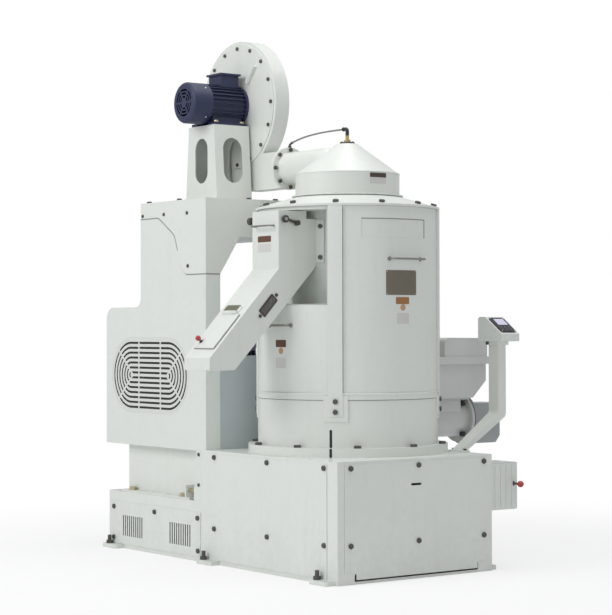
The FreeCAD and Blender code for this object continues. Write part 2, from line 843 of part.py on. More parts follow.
def column_uprights():
    right = block(base_left - leg_width + sheet, base_left - sheet, base_front + sheet, cover_back,
                  motor_base_height, platform_bottom)
    left = block(neck_left + sheet, neck_left + sheet + upright_width, base_front + sheet, cover_back,
                 base_height, platform_bottom)
    return Part.makeCompound([right, left])


# Fan platform, pedestal and fan

def fan_platform():
    left = neck_left
    right = cover_right
    front = base_front
    deck = block(left, right, front, platform_back, platform_top - box_sheet, platform_top)
    floor = block(left, right, front + sheet, platform_back, platform_bottom, platform_bottom + box_sheet)
    back = block(left, right, platform_back - box_sheet, platform_back, platform_bottom, platform_top)
    flange = prism([(left, platform_top), (left, seam_left_z)] + list(reversed(seam_line(0.0)))
                   + [(right, seam_right_z), (right, platform_top)], "y", front, front + sheet)
    right_side = prism([(front, platform_top), (platform_back, platform_top), (platform_back, platform_bottom),
                        (cover_back + 94.0, platform_bottom), (cover_back, seam_right_z),
                        (front, seam_right_z)], "x", right - sheet, right)
    left_side = prism([(front, platform_top), (platform_back, platform_top), (platform_back, platform_bottom),
                       (cover_back, platform_bottom), (cover_back, seam_left_z), (front, seam_left_z)],
                      "x", left, left + sheet)
    return joined([deck, floor, back, flange, right_side, left_side])


def tower_tie():
    """Angle that ties the platform to the rim of the tower."""
    plate = block(cover_right, cover_right + 8.0, -60.0, 50.0, top_plate_z - 40.0, platform_top - 30.0)
    tongue = block(cover_right, -tower_radius, -30.0, 20.0, cover_top + 1.0, cover_top + 8.0)
    return joined([plate, tongue]).cut(rod(tower_radius + 8.0 + fit_gap, 0, platform_top))


def platform_screws():
    heads = []
    for x, z in ((neck_left + 18.0, seam_left_z + 12.0), (-698.0, seam_left_z + 12.0), (-524.0, seam_left_z + 10.0),
                 (-518.0, seam_right_z + 34.0)):
        heads.append(hex_head((x, base_front, z), (0, -1, 0), 13.0, 4.0))
    for x, y in ((neck_left + 50.0, base_front + 12.0), (-600.0, base_front + 12.0), (cover_right - 14.0, -190.0),
                 (cover_right - 14.0, -60.0)):
        heads.append(hex_head((x, y, platform_top), (0, 0, 1), 18.0, 7.0))
    for z in (base_height - 20.0, base_height - 140.0):
        heads.append(hex_head((base_left - leg_width / 2, base_front, z), (0, -1, 0), 13.0, 4.0))
    return Part.makeCompound(heads)


def tapered_box(half_foot, half_head, y0, y1, z0, z1):
    return prism([(fan_x - half_foot, z0), (fan_x + half_foot, z0), (fan_x + half_head, z1),
                  (fan_x - half_head, z1)], "y", y0, y1)


def fan_pedestal():
    wall = box_sheet
    solid = tapered_box(pedestal_foot / 2, pedestal_head / 2, pedestal_front, pedestal_back, platform_top,
                        pedestal_top)
    solid = solid.cut(tapered_box(pedestal_foot / 2 - wall, pedestal_head / 2 - wall, pedestal_front + wall,
                                  pedestal_back - wall, platform_top - 1, pedestal_top - wall))
    middle = (platform_top + pedestal_top) / 2 + 12.0
    half = slot_height / 2 - slot_width / 2
    slot = block(fan_x - slot_width / 2, fan_x + slot_width / 2, pedestal_front - 1, pedestal_back + 1,
                 middle - half, middle + half)
    for z in (middle - half, middle + half):
        slot = slot.fuse(rod(slot_width / 2, pedestal_front - 1, pedestal_back + 1, "y", (fan_x, z)))
    solid = solid.cut(slot)
    y = (pedestal_front + pedestal_back) / 2
    side_slot = block(fan_x - pedestal_foot, fan_x + pedestal_foot, y - slot_width / 2, y + slot_width / 2,
                      middle - half, middle + half)
    for z in (middle - half, middle + half):
        side_slot = side_slot.fuse(rod(slot_width / 2, fan_x - pedestal_foot, fan_x + pedestal_foot, "x", (y, z)))
    return solid.cut(side_slot)


fan_cover_face = fan_front - 4.0
fan_body_start = fan_cover_face - fan_motor_length
fan_cowl_start = fan_body_start - fan_cowl_length


def fan_motor_frame():
    body = finned_body(fan_motor_radius, fan_motor_fin, fan_motor_fins, fan_motor_length, 3.0)
    body = body.cut(rod(fan_shaft_radius + bearing_gap, -1, fan_motor_length + 1))
    body = along_y(body, fan_x, fan_body_start, fan_z)
    feet = []
    for side in (-1, 1):
        inner = fan_x + side * 40.0
        outer = fan_x + side * 84.0
        foot = block(min(inner, outer), max(inner, outer), fan_body_start + 14.0, fan_cover_face - 14.0,
                     pedestal_top, pedestal_top + 12.0)
        web = block(min(inner, fan_x + side * 60.0), max(inner, fan_x + side * 60.0), fan_body_start + 24.0,
                    fan_cover_face - 24.0, pedestal_top, pedestal_top + 40.0)
        feet += [foot, web]
    return joined([body] + feet)


def fan_motor_cowl():
    outer = fan_cowl_radius
    length = fan_cowl_length
    cowl = turned([(0, 0), (outer, 0, 14.0), (outer, length), (0, length)])
    cowl = cowl.cut(turned([(0, sheet), (outer - sheet, sheet, 11.0), (outer - sheet, length + 1),
                            (0, length + 1)]))
    for radius in (24.0, 38.0, 52.0):
        ring = pipe(radius + 4.0, radius - 4.0, -1, sheet + 1)
        for angle in (0, 60, 120):
            bar = block(-100.0, 100.0, -3.5, 3.5, -2, sheet + 2)
            bar.rotate(V(0, 0, 0), V(0, 0, 1), angle)
            ring = ring.cut(bar)
        cowl = cowl.cut(ring)
    return along_y(cowl, fan_x, fan_cowl_start, fan_z)


def fan_terminal_box():
    y0 = fan_body_start + fan_box_offset
    y1 = y0 + 84.0
    neck = fan_z + fan_motor_radius + fan_motor_fin
    case = block(fan_x - 46.0, fan_x + 46.0, y0, y1, neck - 24.0, neck + 36.0)
    case = case.cut(rod(fan_motor_radius + fan_motor_fin + fit_gap, y0 - 1, y1 + 1, "y", (fan_x, fan_z)))
    lid = block(fan_x - 54.0, fan_x + 54.0, y0 - 8.0, y1 + 8.0, neck + 36.0, neck + 44.0)
    return joined([case, lid])


def fan_shaft():
    return rod(fan_shaft_radius, fan_cowl_start + 30.0, fan_back - 22.0, "y", (fan_x, fan_z))


def cooling_fan():
    hub = pipe(24.0, fan_shaft_radius, 0, 26.0)
    blade = block(20.0, fan_cowl_radius - 14.0, -1.5, 1.5, 0, 26.0)
    fan = joined([hub] + turned_copies(blade, 6))
    return along_y(fan, fan_x, fan_cowl_start + 36.0, fan_z)


def impeller():
    start = fan_front + 10.0
    disc = pipe(impeller_radius, fan_shaft_radius, 0, 4.0)
    hub = pipe(34.0, fan_shaft_radius, 0, 30.0)
    blade = block(60.0, impeller_radius - 2.0, -2.0, 2.0, 3.0, 36.0)
    blade.rotate(V(60.0, 0, 0), V(0, 0, 1), 28.0)
    wheel = disc.multiFuse([hub] + turned_copies(blade, impeller_blades))
    wheel = wheel.common(rod(impeller_radius, -1, 60.0))
    return along_y(wheel, fan_x, start, fan_z)


def volute(inset):
    """Face outline of the fan casing, square to Y, pulled in by an inset."""
    radius = fan_radius - inset
    wide = fan_outlet_drop - inset
    centre_b = fan_x + fan_outlet_drop - fan_radius
    top = outlet_top - inset
    bottom = outlet_bottom + inset
    reach = math.sqrt(radius ** 2 - (fan_z - top) ** 2)
    end = fan_outlet_end
    diagonal = math.sqrt(0.5)
    level = 0.0
    start = place(fan_x + reach, top, "y", level)
    crest = place(fan_x, fan_z + radius, "y", level)
    left = place(fan_x - radius, fan_z, "y", level)
    turn = place(centre_b - wide * diagonal, fan_z - wide * diagonal, "y", level)
    sole = place(centre_b, bottom, "y", level)
    corner = place(end, bottom, "y", level)
    lip = place(end, top, "y", level)
    return Part.Wire([Part.Arc(start, crest, left).toShape(), Part.Arc(left, turn, sole).toShape(),
                      Part.LineSegment(sole, corner).toShape(), Part.LineSegment(corner, lip).toShape(),
                      Part.LineSegment(lip, start).toShape()])


def fan_casing():
    outer = Part.Face(volute(0.0)).extrude(V(0, fan_depth, 0))
    inner = Part.Face(volute(sheet)).extrude(V(0, fan_depth - 2 * sheet, 0))
    inner.translate(V(0, sheet, 0))
    solid = outer.cut(inner)
    solid.translate(V(0, fan_front, 0))
    solid = solid.cut(block(fan_outlet_end - sheet - 1, fan_outlet_end + 1, fan_front + sheet, fan_back - sheet,
                            outlet_bottom + sheet, outlet_top - sheet))
    solid = solid.cut(rod(fan_radius - 45.0, fan_front - 1, fan_front + sheet + 1, "y", (fan_x, fan_z)))
    solid = solid.cut(rod(95.0, fan_back - sheet - 1, fan_back + 1, "y", (fan_x, fan_z)))
    flange = rod(pipe_flange_radius, fan_outlet_end, fan_outlet_end + pipe_flange, "x", (fan_mid, pipe_z))
    flange = flange.cut(rod(pipe_radius - sheet, fan_outlet_end - 1, fan_outlet_end + pipe_flange + 1, "x",
                            (fan_mid, pipe_z)))
    return joined([solid, flange])


def fan_cover():
    disc = pipe(fan_radius - 14.0, fan_shaft_radius + 6.0, fan_cover_face, fan_front, "y", (fan_x, fan_z))
    rib = block(120.0, 205.0, -14.0, 0, -6.0, 6.0)
    rib.rotate(V(0, 0, 0), V(0, 1, 0), -50.0)
    rib.translate(V(fan_x, fan_cover_face, fan_z))
    return joined([disc, rib])


def fan_cover_bolts():
    heads = []
    for index in range(fan_bolts):
        angle = math.radians(index * 360.0 / fan_bolts)
        point = (fan_x + fan_bolt_radius * math.cos(angle), fan_cover_face, fan_z + fan_bolt_radius * math.sin(angle))
        heads.append(hex_head(point, (0, -1, 0), 14.0, 6.0))
    return Part.makeCompound(heads)


def fan_inlet():
    """Bell mouth and guard on the rear of the fan."""
    profile = [(95.0, 0), (112.0, 0), (112.0, 4.0), (100.0, 4.0), (100.0, 30.0), (112.0, 44.0), (108.0, 48.0),
               (95.0, 34.0)]
    bell = turned(profile)
    bars = []
    for radius in (30.0, 60.0):
        bars.append(pipe(radius + 2.0, radius - 2.0, 20.0, 24.0))
    for angle in (0, 60, 120):
        bar = block(-96.0, 96.0, -2.0, 2.0, 20.0, 24.0)
        bar.rotate(V(0, 0, 0), V(0, 0, 1), angle)
        bars.append(bar)
    return along_y(joined([bell] + bars), fan_x, fan_back, fan_z)


# Air hood: pipe, collar and cone in one welded piece

pipe_y = fan_mid


def air_hood():
    collar = turned([(0, collar_z), (collar_radius, collar_z), (collar_radius, cone_z), (cone_top_radius, apex_z),
                     (0, apex_z)])
    hollow = turned([(0, collar_z - 1), (collar_radius - 4.0, collar_z - 1), (collar_radius - 4.0, cone_z - 1.0),
                     (cone_top_radius - 4.0, apex_z - 4.0), (0, apex_z - 4.0)])
    start = fan_outlet_end + 2 * pipe_flange
    mouth = V(pipe_mouth_x, pipe_y, pipe_z)
    stub = rod(pipe_radius, fan_outlet_end + pipe_flange, pipe_mouth_x, "x", (pipe_y, pipe_z))
    stub = stub.fuse(Part.makeSphere(pipe_radius, mouth))
    flange = rod(pipe_flange_radius, fan_outlet_end + pipe_flange, start, "x", (pipe_y, pipe_z))
    base_flange = pipe(collar_radius + 14.0, collar_radius - 4.0, collar_z, collar_z + 5.0)
    solid = joined([collar, stub, flange, base_flange])
    bore = rod(pipe_radius - 4.0, fan_outlet_end, pipe_mouth_x, "x", (pipe_y, pipe_z))
    bore = bore.fuse(Part.makeSphere(pipe_radius - 4.0, mouth))
    top_hole = rod(14.0, apex_z - 10.0, apex_z + 1)
    return solid.cut(hollow).cut(bore).cut(top_hole)


def pipe_bolt_set():
    heads = []
    for index in range(pipe_bolts):
        angle = math.radians(index * 360.0 / pipe_bolts)
        point = (fan_outlet_end + 2 * pipe_flange, pipe_y + pipe_bolt_radius * math.cos(angle),
                 pipe_z + pipe_bolt_radius * math.sin(angle))
        heads.append(hex_head(point, (1, 0, 0), 14.0, 8.0))
    return Part.makeCompound(heads)


# Top fitting of the spindle air line

def top_fitting():
    flange = rod(29.0, apex_z, apex_z + 8.0)
    plug = rod(13.5, apex_z - 8.0, apex_z)
    stem = rod(7.0, apex_z + 8.0, apex_z + 34.0)
    nut = hex_head((0, 0, apex_z + 8.0), (0, 0, 1), 24.0, 9.0)
    return joined([flange, plug, stem, nut])


elbow_z = apex_z + 34.0


def top_elbow():
    return bent_rod([(0, 0, elbow_z), (0, 0, elbow_z + 26.0), (-26.0, 0, elbow_z + 26.0)], 7.5, 16.0)


line_radius = 3.5
line_start = V(-26.0, 0.0, elbow_z + 26.0)
nipple_x = fan_outlet_end + 1.5 * pipe_flange
nipple_z = pipe_z + pipe_flange_radius
line_end = V(nipple_x + 16.0, pipe_y + 2.0, nipple_z + 19.0)
line_route = [line_start, V(-62.0, 0.0, line_start.z), V(-104.0, -6.0, line_start.z - 0.6),
              V(-147.0, -13.5, line_start.z - 3.0), V(-190.0, -21.5, line_start.z - 7.0),
              V(-232.0, -30.0, line_start.z - 13.0), V(-271.0, -38.0, line_start.z - 21.5), line_end]


def air_line():
    """Thin hose from the elbow to the nipple on the pipe flange."""
    bends = []
    cut_corners = 0.0
    for index in range(1, len(line_route) - 1):
        before = line_route[index - 1] - line_route[index]
        after = line_route[index + 1] - line_route[index]
        run = 0.45 * min(before.Length, after.Length)
        turn = math.pi - before.getAngle(after)
        bends.append(run / math.tan(turn / 2))
        cut_corners += 2 * run - bends[-1] * turn
        print("air line bend", index, "radius", round(bends[-1], 1))
    tube = bent_run(line_route, line_radius, bends)
    length = -cut_corners
    for index in range(1, len(line_route)):
        length += (line_route[index] - line_route[index - 1]).Length
    print("air line length", round(length, 1), "volume over section times length",
          round(tube.Volume / (math.pi * line_radius ** 2 * length), 4))
    return tube


def line_nipple():
    """Small bent nipple on top of the pipe flange, in line with the hose."""
    stem = bent_rod([(nipple_x, pipe_y, nipple_z - 2.0), (nipple_x, pipe_y, nipple_z + 12.0),
                     (line_end.x, line_end.y, line_end.z)], 4.5, 6.0)
    nut = rod(7.0, nipple_z - 2.0, nipple_z + 7.0, "z", (nipple_x, pipe_y))
    flanges = rod(pipe_flange_radius, nipple_x - 20.0, nipple_x + 20.0, "x", (pipe_y, pipe_z))
    return joined([stem, nut]).cut(flanges)


# Tower shell

def tower_ring():
    ring = pipe(ring_radius, ring_radius - 46.0, base_height, ring_top)
    return ring


def tower_ring_bolts():
    heads = []
    for index in range(10):
        angle = math.radians(-140.0 + index * 36.0)
        radius = ring_radius - 16.0
        heads.append(hex_head((radius * math.cos(angle), radius * math.sin(angle), ring_top), (0, 0, 1), 24.0, 10.0))
    return Part.makeCompound(heads)


def lower_shell():
    shell = pipe(tower_radius, tower_radius - box_sheet, ring_top, rim_bottom)
    shell = shell.cut(rod(feed_radius + fit_gap, 0, tower_radius + 50.0, "y", (0, feed_z)))
    slit = block(0, tower_radius + 10.0, -3.0, 3.0, ring_top + 6.0, ring_top + 66.0)
    slit.rotate(V(0, 0, 0), V(0, 0, 1), -48.0)
    return shell.cut(slit)


def rim_ring():
    points = [(chamber_radius + fit_gap, cover_z - 6.0), (tower_radius - box_sheet, cover_z - 6.0),
              (tower_radius - box_sheet, rim_bottom), (tower_radius + rim_proud, rim_bottom),
              (tower_radius + rim_proud, cover_z), (chamber_radius + fit_gap, cover_z)]
    ring = turned(points)
    for index in range(6):
        slot = sector(chamber_radius + 30.0, tower_radius - 30.0, cover_z - 7.0, cover_z + 1, index * 60.0 + 8.0,
                      index * 60.0 + 46.0)
        ring = ring.cut(slot)
    return ring


def tower_posts():
    posts = []
    for quarter in range(4):
        centre = post_angle + quarter * 90.0
        low = centre - post_half_angle
        high = centre + post_half_angle
        body = sector(tower_radius - post_depth, post_outer, cover_z, top_plate_z, low, high)
        strip = sector(tower_radius + 5.0, post_outer, rim_bottom - post_tail + 26.0, cover_z, low, high)
        head = sector(tower_radius, post_outer, top_plate_z, cover_top, low, high)
        posts.append(joined([body, strip, head]))
    return Part.makeCompound(posts)


def post_shoes():
    shoes = []
    bottom = rim_bottom - post_tail + 9.0
    for quarter in range(4):
        centre = post_angle + quarter * 90.0
        shoe = sector(tower_radius, tower_radius + 5.0, bottom, cover_z - 10.0, centre - shoe_half_angle,
                      centre + shoe_half_angle)
        shoe = shoe.cut(rod(tower_radius + rim_proud, rim_bottom, cover_z))
        shoes.append(shoe)
    return Part.makeCompound(shoes)


def post_bolts():
    heads = []
    for quarter in range(4):
        angle = math.radians(post_angle + quarter * 90.0)
        way = (math.cos(angle), math.sin(angle), 0)
        for z in (rim_bottom - 6.0, rim_bottom - 45.0):
            heads.append(hex_head((post_outer * way[0], post_outer * way[1], z), way, 18.0, 7.0))
    return Part.makeCompound(heads)


def curved_cover(z0, z1, start, end):
    """Tower cover with folded upright edges, between two angles."""
    skin = sector(tower_radius - sheet, tower_radius, z0, z1, start, end)
    edge = math.degrees(sheet / tower_radius)
    fold_top = min(z1, top_plate_z - 1.0)
    folds = [sector(tower_radius - 16.0, tower_radius, z0, fold_top, start, start + edge),
             sector(tower_radius - 16.0, tower_radius, z0, fold_top, end - edge, end)]
    return joined([skin] + folds)


cover_half_angle = 45.0 - post_half_angle - math.degrees(seam / tower_radius)


def right_door():
    door = curved_cover(cover_z + fit_gap, cover_top, -cover_half_angle, cover_half_angle)
    pressed = sector(tower_radius - 1.5, tower_radius + 1, 1260.0, 1332.0, -29.0, 19.0)
    return door.cut(pressed)


def front_door():
    return curved_cover(cover_z, low_door_top, -90.0 - cover_half_angle, -90.0 + cover_half_angle)


def left_cover():
    return curved_cover(cover_z, cover_top, 180.0 - cover_half_angle, 180.0 + cover_half_angle)


def rear_cover():
    return curved_cover(cover_z, cover_top, 90.0 - cover_half_angle, 90.0 + cover_half_angle)


def bow_handle(start, end, z):
    """Bent bar on the tower skin between two angles."""
    a = math.radians(start)
    b = math.radians(end)
    seat = tower_radius
    reach = tower_radius + 30.0
    first = (seat * math.cos(a), seat * math.sin(a), z)
    second = (reach * math.cos(a), reach * math.sin(a), z)
    third = (reach * math.cos(b), reach * math.sin(b), z)
    fourth = (seat * math.cos(b), seat * math.sin(b), z)
    return bent_rod([first, second, third, fourth], 4.0, 10.0)


def right_door_handle():
    return bow_handle(-11.0, 14.0, 1181.0)


def front_door_handle():
    return bow_handle(-95.0, -75.0, 932.0)


def shoulder():
    lip = tower_radius + 8.0
    points = [(collar_radius - 12.0, collar_z - 5.0), (lip - 6.0, cover_top + fit_gap), (lip, cover_top + fit_gap),
              (lip, cover_top + 9.0), (collar_radius + 2.0, collar_z), (collar_radius - 12.0, collar_z)]
    skin = turned(points)
    skirt = pipe(collar_radius + 20.0, collar_radius + 14.0, cover_top, collar_z - 9.0)
    return joined([skin, skirt])


def shoulder_bolts():
    heads = []
    slope = math.atan2(collar_z - cover_top - 9.0, tower_radius + 8.0 - collar_radius - 2.0)
    radius = tower_radius - 14.0
    z = cover_top + 9.0 + (tower_radius + 8.0 - radius) * math.tan(slope)
    for index in range(12):
        angle = math.radians(-45.0 + index * 30.0)
        way = (math.sin(slope) * math.cos(angle), math.sin(slope) * math.sin(angle), math.cos(slope))
        heads.append(hex_head((radius * math.cos(angle), radius * math.sin(angle), z), way, 20.0, 9.0))
    return Part.makeCompound(heads)


def crown_plate():
    return pipe(tower_radius - sheet - 1.0, spindle_upper_radius + 6.0, top_plate_z, cover_top)


def outlet_bay():
    """Folded recess behind the outlet box: back wall, two cheeks and a floor."""
    inner = bay_radius - sheet
    low = -90.0 - cover_half_angle
    high = -90.0 + cover_half_angle
    cheek = math.degrees(sheet / bay_radius)
    floor_z = low_door_top + 1.0
    wall = sector(inner, bay_radius, floor_z, top_plate_z, low, high)
    floor = sector(inner, tower_radius - 1.0, floor_z, floor_z + sheet, low, high)
    cheeks = [sector(inner, tower_radius - 1.0, floor_z, top_plate_z, low, low + cheek),
              sector(inner, tower_radius - 1.0, floor_z, top_plate_z, high - cheek, high)]
    bay = joined([wall, floor] + cheeks)
    port = block(-port_half_width, port_half_width, -bay_radius - 10.0, 0, port_bottom, port_top)
    return bay.cut(port)


# Milling chamber

def feed_chamber():
    wall = pipe(chamber_radius, chamber_inner, base_height, cover_z)
    return wall.cut(rod(feed_radius - 6.0, 0, chamber_radius + 20.0, "y", (0, feed_z)))


def screen_cage():
    cage = pipe(chamber_radius, chamber_radius - 5.0, cover_z, top_plate_z)
    column = 360.0 / screen_columns
    row = (top_plate_z - cover_z - 30.0) / screen_rows
    cutters = []
    for index in range(screen_columns):
        angle = (index + 0.5) * column
        if abs(angle - 270.0) < 30.0:
            continue
        for level in range(screen_rows):
            z = cover_z + 15.0 + level * row
            slot = block(0, chamber_radius + 10.0, -24.0, 24.0, z + 10.0, z + row - 10.0)
            slot.rotate(V(0, 0, 0), V(0, 0, 1), angle)
            cutters.append(slot)
    cage = cage.cut(cutters[0].multiFuse(cutters[1:]))
    port = block(-port_half_width, port_half_width, -chamber_radius - 10.0, 0, port_bottom, port_top)
    return cage.cut(port)


def outlet_throat():
    """Short duct from the milling chamber to the outlet box."""
    outer = block(-port_half_width, port_half_width, -bay_radius - 2.0, 0, port_bottom, port_top)
    inner = block(-port_half_width + sheet, port_half_width - sheet, -bay_radius - 3.0, 1.0, port_bottom + sheet,
                  port_top - sheet)
    throat = outer.cut(inner)
    throat = throat.cut(rod(chamber_radius - 4.0, port_bottom - 1, port_top + 1))
    return throat.common(rod(bay_radius, port_bottom - 1, port_top + 1))


def bearing_housing():
    lower = belt_top + 14.0
    upper = cover_z - 42.0
    body = pipe(housing_radius, spindle_radius + 6.0, lower, upper)
    flange = pipe(housing_radius + 44.0, housing_radius - 1.0, base_height, base_height + 14.0)
    solid = joined([body, flange])
    for low, high in ((lower - 1, lower + 26.0), (upper - 26.0, upper + 1)):
        solid = solid.cut(rod(bearing_outer, low, high))
    return solid


def spindle_bearings():
    lower = belt_top + 14.0
    upper = cover_z - 42.0
    rings = []
    for low in (lower, upper - 26.0):
        rings.append(pipe(bearing_outer, spindle_radius + bearing_gap, low, low + 26.0))
    return Part.makeCompound(rings)


def spindle_shaft():
    step = cover_z - 30.0
    points = [(0, belt_bottom - 14.0), (spindle_radius, belt_bottom - 14.0), (spindle_radius, step),
              (spindle_upper_radius, step), (spindle_upper_radius, rollers_top), (36.0, rollers_top),
              (36.0, cover_top + 20.0), (spindle_bore, cover_top + 20.0), (spindle_bore, step + 20.0),
              (0, step + 20.0)]
    return turned(points)


def screw_roll():
    low = base_height + 46.0
    high = cover_z - 6.0
    hub = turned([(screw_hub - 12.0, low), (screw_hub, low), (screw_hub, high), (spindle_upper_radius, high),
                  (spindle_upper_radius, high - 16.0), (screw_hub - 12.0, high - 16.0)])
    turns = (high - low - 24.0) / screw_pitch
    flights = []
    for start in (0.0, 180.0):
        one = helical_flight(screw_hub - 3.0, chamber_inner - 8.0, screw_pitch, turns, flight)
        one.rotate(V(0, 0, 0), V(0, 0, 1), start)
        one.translate(V(0, 0, low + 10.0))
        flights.append(one)
    return joined([hub] + flights)


def roller_hub():
    points = [(spindle_upper_radius, rollers_z - 10.0), (roller_inner + 30.0, rollers_z - 10.0),
              (roller_inner + 30.0, rollers_z), (roller_inner, rollers_z)]
    for index in range(1, roller_count):
        z = rollers_z + index * (roller_height + roller_slot) - roller_slot
        points += [(roller_inner, z), (roller_inner + 40.0, z), (roller_inner + 40.0, z + roller_slot),
                   (roller_inner, z + roller_slot)]
    points += [(roller_inner, rollers_top), (spindle_upper_radius, rollers_top)]
    return turned(points)


def emery_rollers():
    rings = []
    for index in range(roller_count):
        z = rollers_z + index * (roller_height + roller_slot)
        rings.append(pipe(roller_radius, roller_inner, z, z + roller_height))
    return Part.makeCompound(rings)


def spindle_nut():
    return turned([(36.0, rollers_top), (110.0, rollers_top), (110.0, rollers_top + 10.0),
                   (60.0, rollers_top + 30.0), (36.0, rollers_top + 30.0)])


# Outlet box, chute and their fittings

slope_length = math.hypot(chute_front - chute_lip_y, chute_knee - chute_lip_top)
slope_down = V(0, (chute_lip_y - chute_front) / slope_length, (chute_lip_top - chute_knee) / slope_length)
slope_out = V(0, slope_down.z, -slope_down.y)


def on_slope(x, down, out):
    """Point on the sloping top of the chute: across, down from the knee, and out from the face."""
    start = V(x, chute_front, chute_knee)
    return start + slope_down * down + slope_out * out


def slope_block(x0, x1, down0, down1, out0, out1):
    corners = []
    for down, out in ((down0, out0), (down1, out0), (down1, out1), (down0, out1)):
        point = on_slope(0, down, out)
        corners.append((point.y, point.z))
    return prism(corners, "x", x0, x1)


def outlet_chute():
    side = [(chute_front, chute_top), (chute_front, chute_knee), (chute_lip_y, chute_lip_top),
            (chute_lip_y, chute_mouth_z), (chute_mouth_back, chute_mouth_z),
            (-bay_radius + 17.0, chute_back_z), (-bay_radius + 17.0, port_top + 15.0),
            (-bay_radius - 32.0, port_top + 15.0), (-bay_radius - 32.0, chute_top)]
    solid = prism(side, "x", -chute_half_width, chute_half_width)
    wire = outline(side, "x", -chute_half_width + sheet)
    inner = Part.Face(wire.makeOffset2D(-sheet)).extrude(V(2 * (chute_half_width - sheet), 0, 0))
    solid = solid.cut(inner)
    mouth = block(-chute_half_width + sheet, chute_half_width - sheet, chute_lip_y + sheet,
                  chute_mouth_back - sheet, chute_mouth_z - 1, chute_mouth_z + sheet + 1)
    port = block(-port_half_width, port_half_width, -bay_radius - 30.0, 0, port_bottom, port_top)
    window = slope_block(-lid_width / 2 + 15.0, lid_width / 2 - 15.0, lid_start + 15.0, lid_start + lid_length - 15.0,
                         -10.0, 10.0)
    solid = solid.cut(mouth).cut(port).cut(window)
    solid = solid.cut(rod(bay_radius + fit_gap, 0, 2000.0))
    ears = []
    for side_way in (-1, 1):
        middle = -90.0 + side_way * 25.5
        ears.append(sector(bay_radius + fit_gap, bay_radius + 4.0, chute_back_z + 10.0, port_top + 12.0, middle - 4.5,
                           middle + 4.5))
    solid = joined([solid] + ears)
    solid = solid.cut(rod(gate_rod + bearing_gap, -chute_half_width - 1, chute_half_width + 1, "x", (gate_y, gate_z)))
    return solid


def chute_bolts():
    heads = []
    for side_way in (-1, 1):
        angle = math.radians(-90.0 + side_way * 26.5)
        way = (math.cos(angle), math.sin(angle), 0)
        radius = bay_radius + 4.0
        for z in (port_top - 12.0, chute_back_z + 30.0):
            heads.append(hex_head((radius * way[0], radius * way[1], z), way, 16.0, 7.0))
    return Part.makeCompound(heads)


hinge_pin_radius = 4.0


def lid_hinge_line():
    return on_slope(0, lid_start - 6.0, 8.0)


def chute_lid():
    plate = slope_block(-lid_width / 2, lid_width / 2, lid_start, lid_start + lid_length, 0.6, 0.6 + lid_sheet)
    line = lid_hinge_line()
    plate = plate.fuse(slope_block(-22.0, 22.0, lid_start - 6.0, lid_start + 2.0, 3.0, 0.6 + lid_sheet))
    knuckle = rod(7.0, -22.0, 22.0, "x", (line.y, line.z))
    return joined([plate, knuckle]).cut(rod(hinge_pin_radius + bearing_gap, -23.0, 23.0, "x", (line.y, line.z)))


def lid_hinge():
    line = lid_hinge_line()
    parts = [rod(hinge_pin_radius, -45.0, 45.0, "x", (line.y, line.z))]
    for low, high in ((-45.0, -22.5), (22.5, 45.0)):
        knuckle = rod(6.0, low, high, "x", (line.y, line.z))
        leaf = slope_block(low, high, lid_start - 40.0, lid_start - 5.0, 0, 3.0)
        parts += [knuckle, leaf, slope_block(low, high, lid_start - 12.0, lid_start - 3.0, 0, 6.0)]
    return joined(parts)


def lid_knob():
    down = lid_start + lid_length * 0.82
    base = on_slope(-45.0, down, 0.6 + lid_sheet)
    ball = on_slope(-45.0, down, 0.6 + lid_sheet + 18.0)
    stem = Part.makeCylinder(4.0, 16.0, base, slope_out)
    return joined([Part.makeSphere(knob_radius, ball), stem])


def sight_glass():
    centre = V(chute_half_width, -440.0, 1006.0)
    along = V(0, slope_down.y, slope_down.z)
    across = V(0, slope_out.y, slope_out.z)
    corners = []
    for u, v in ((-44.0, -18.5), (44.0, -18.5), (44.0, 18.5), (-44.0, 18.5)):
        point = centre + along * u + across * v
        corners.append((point.y, point.z, 4.0))
    return prism(corners, "x", chute_half_width, chute_half_width + 4.0)


def sight_bolts():
    heads = []
    for u in (-54.0, 54.0):
        point = V(chute_half_width, -440.0, 1006.0) + slope_down * u
        heads.append(hex_head((point.x, point.y, point.z), (1, 0, 0), 12.0, 5.0))
    return Part.makeCompound(heads)


def pressure_gate():
    """Flap that holds the rice back, on its cross rod."""
    cross_rod = rod(gate_rod, -chute_half_width - 30.0, chute_half_width + 20.0, "x", (gate_y, gate_z))
    flap = block(-chute_half_width + sheet + 3.0, chute_half_width - sheet - 3.0, 0, gate_length, -2.0, 2.0)
    flap.rotate(V(0, 0, 0), V(1, 0, 0), -48.0)
    flap.translate(V(0, gate_y, gate_z))
    return joined([cross_rod, flap])


def gate_lever():
    x = chute_half_width + 8.0
    eye = pipe(14.0, gate_rod, x, x + 10.0, "x", (gate_y, gate_z))
    arm = block(x + 2.0, x + 8.0, 10.0, 56.0, -5.0, 5.0)
    arm.rotate(V(0, 0, 0), V(1, 0, 0), -14.0)
    arm.translate(V(0, gate_y, gate_z))
    tip = V(x + 5.0, gate_y + 56.0 * math.cos(math.radians(14.0)), gate_z - 56.0 * math.sin(math.radians(14.0)))
    weight = rod(10.0, x - 2.0, x + 14.0, "x", (tip.y, tip.z))
    return joined([eye, arm, weight])


def gate_knob():
    x = -chute_half_width - 30.0
    return joined([rod(15.0, x - 18.0, x, "x", (gate_y, gate_z)), rod(10.0, x - 22.0, x - 18.0, "x", (gate_y, gate_z))])


def chute_handle():
    z = chute_top - 57.0
    y = chute_front
    return bent_rod([(-58.0, y, z), (-58.0, y - 26.0, z), (58.0, y - 26.0, z), (58.0, y, z)], 3.5, 8.0)


# Feeder

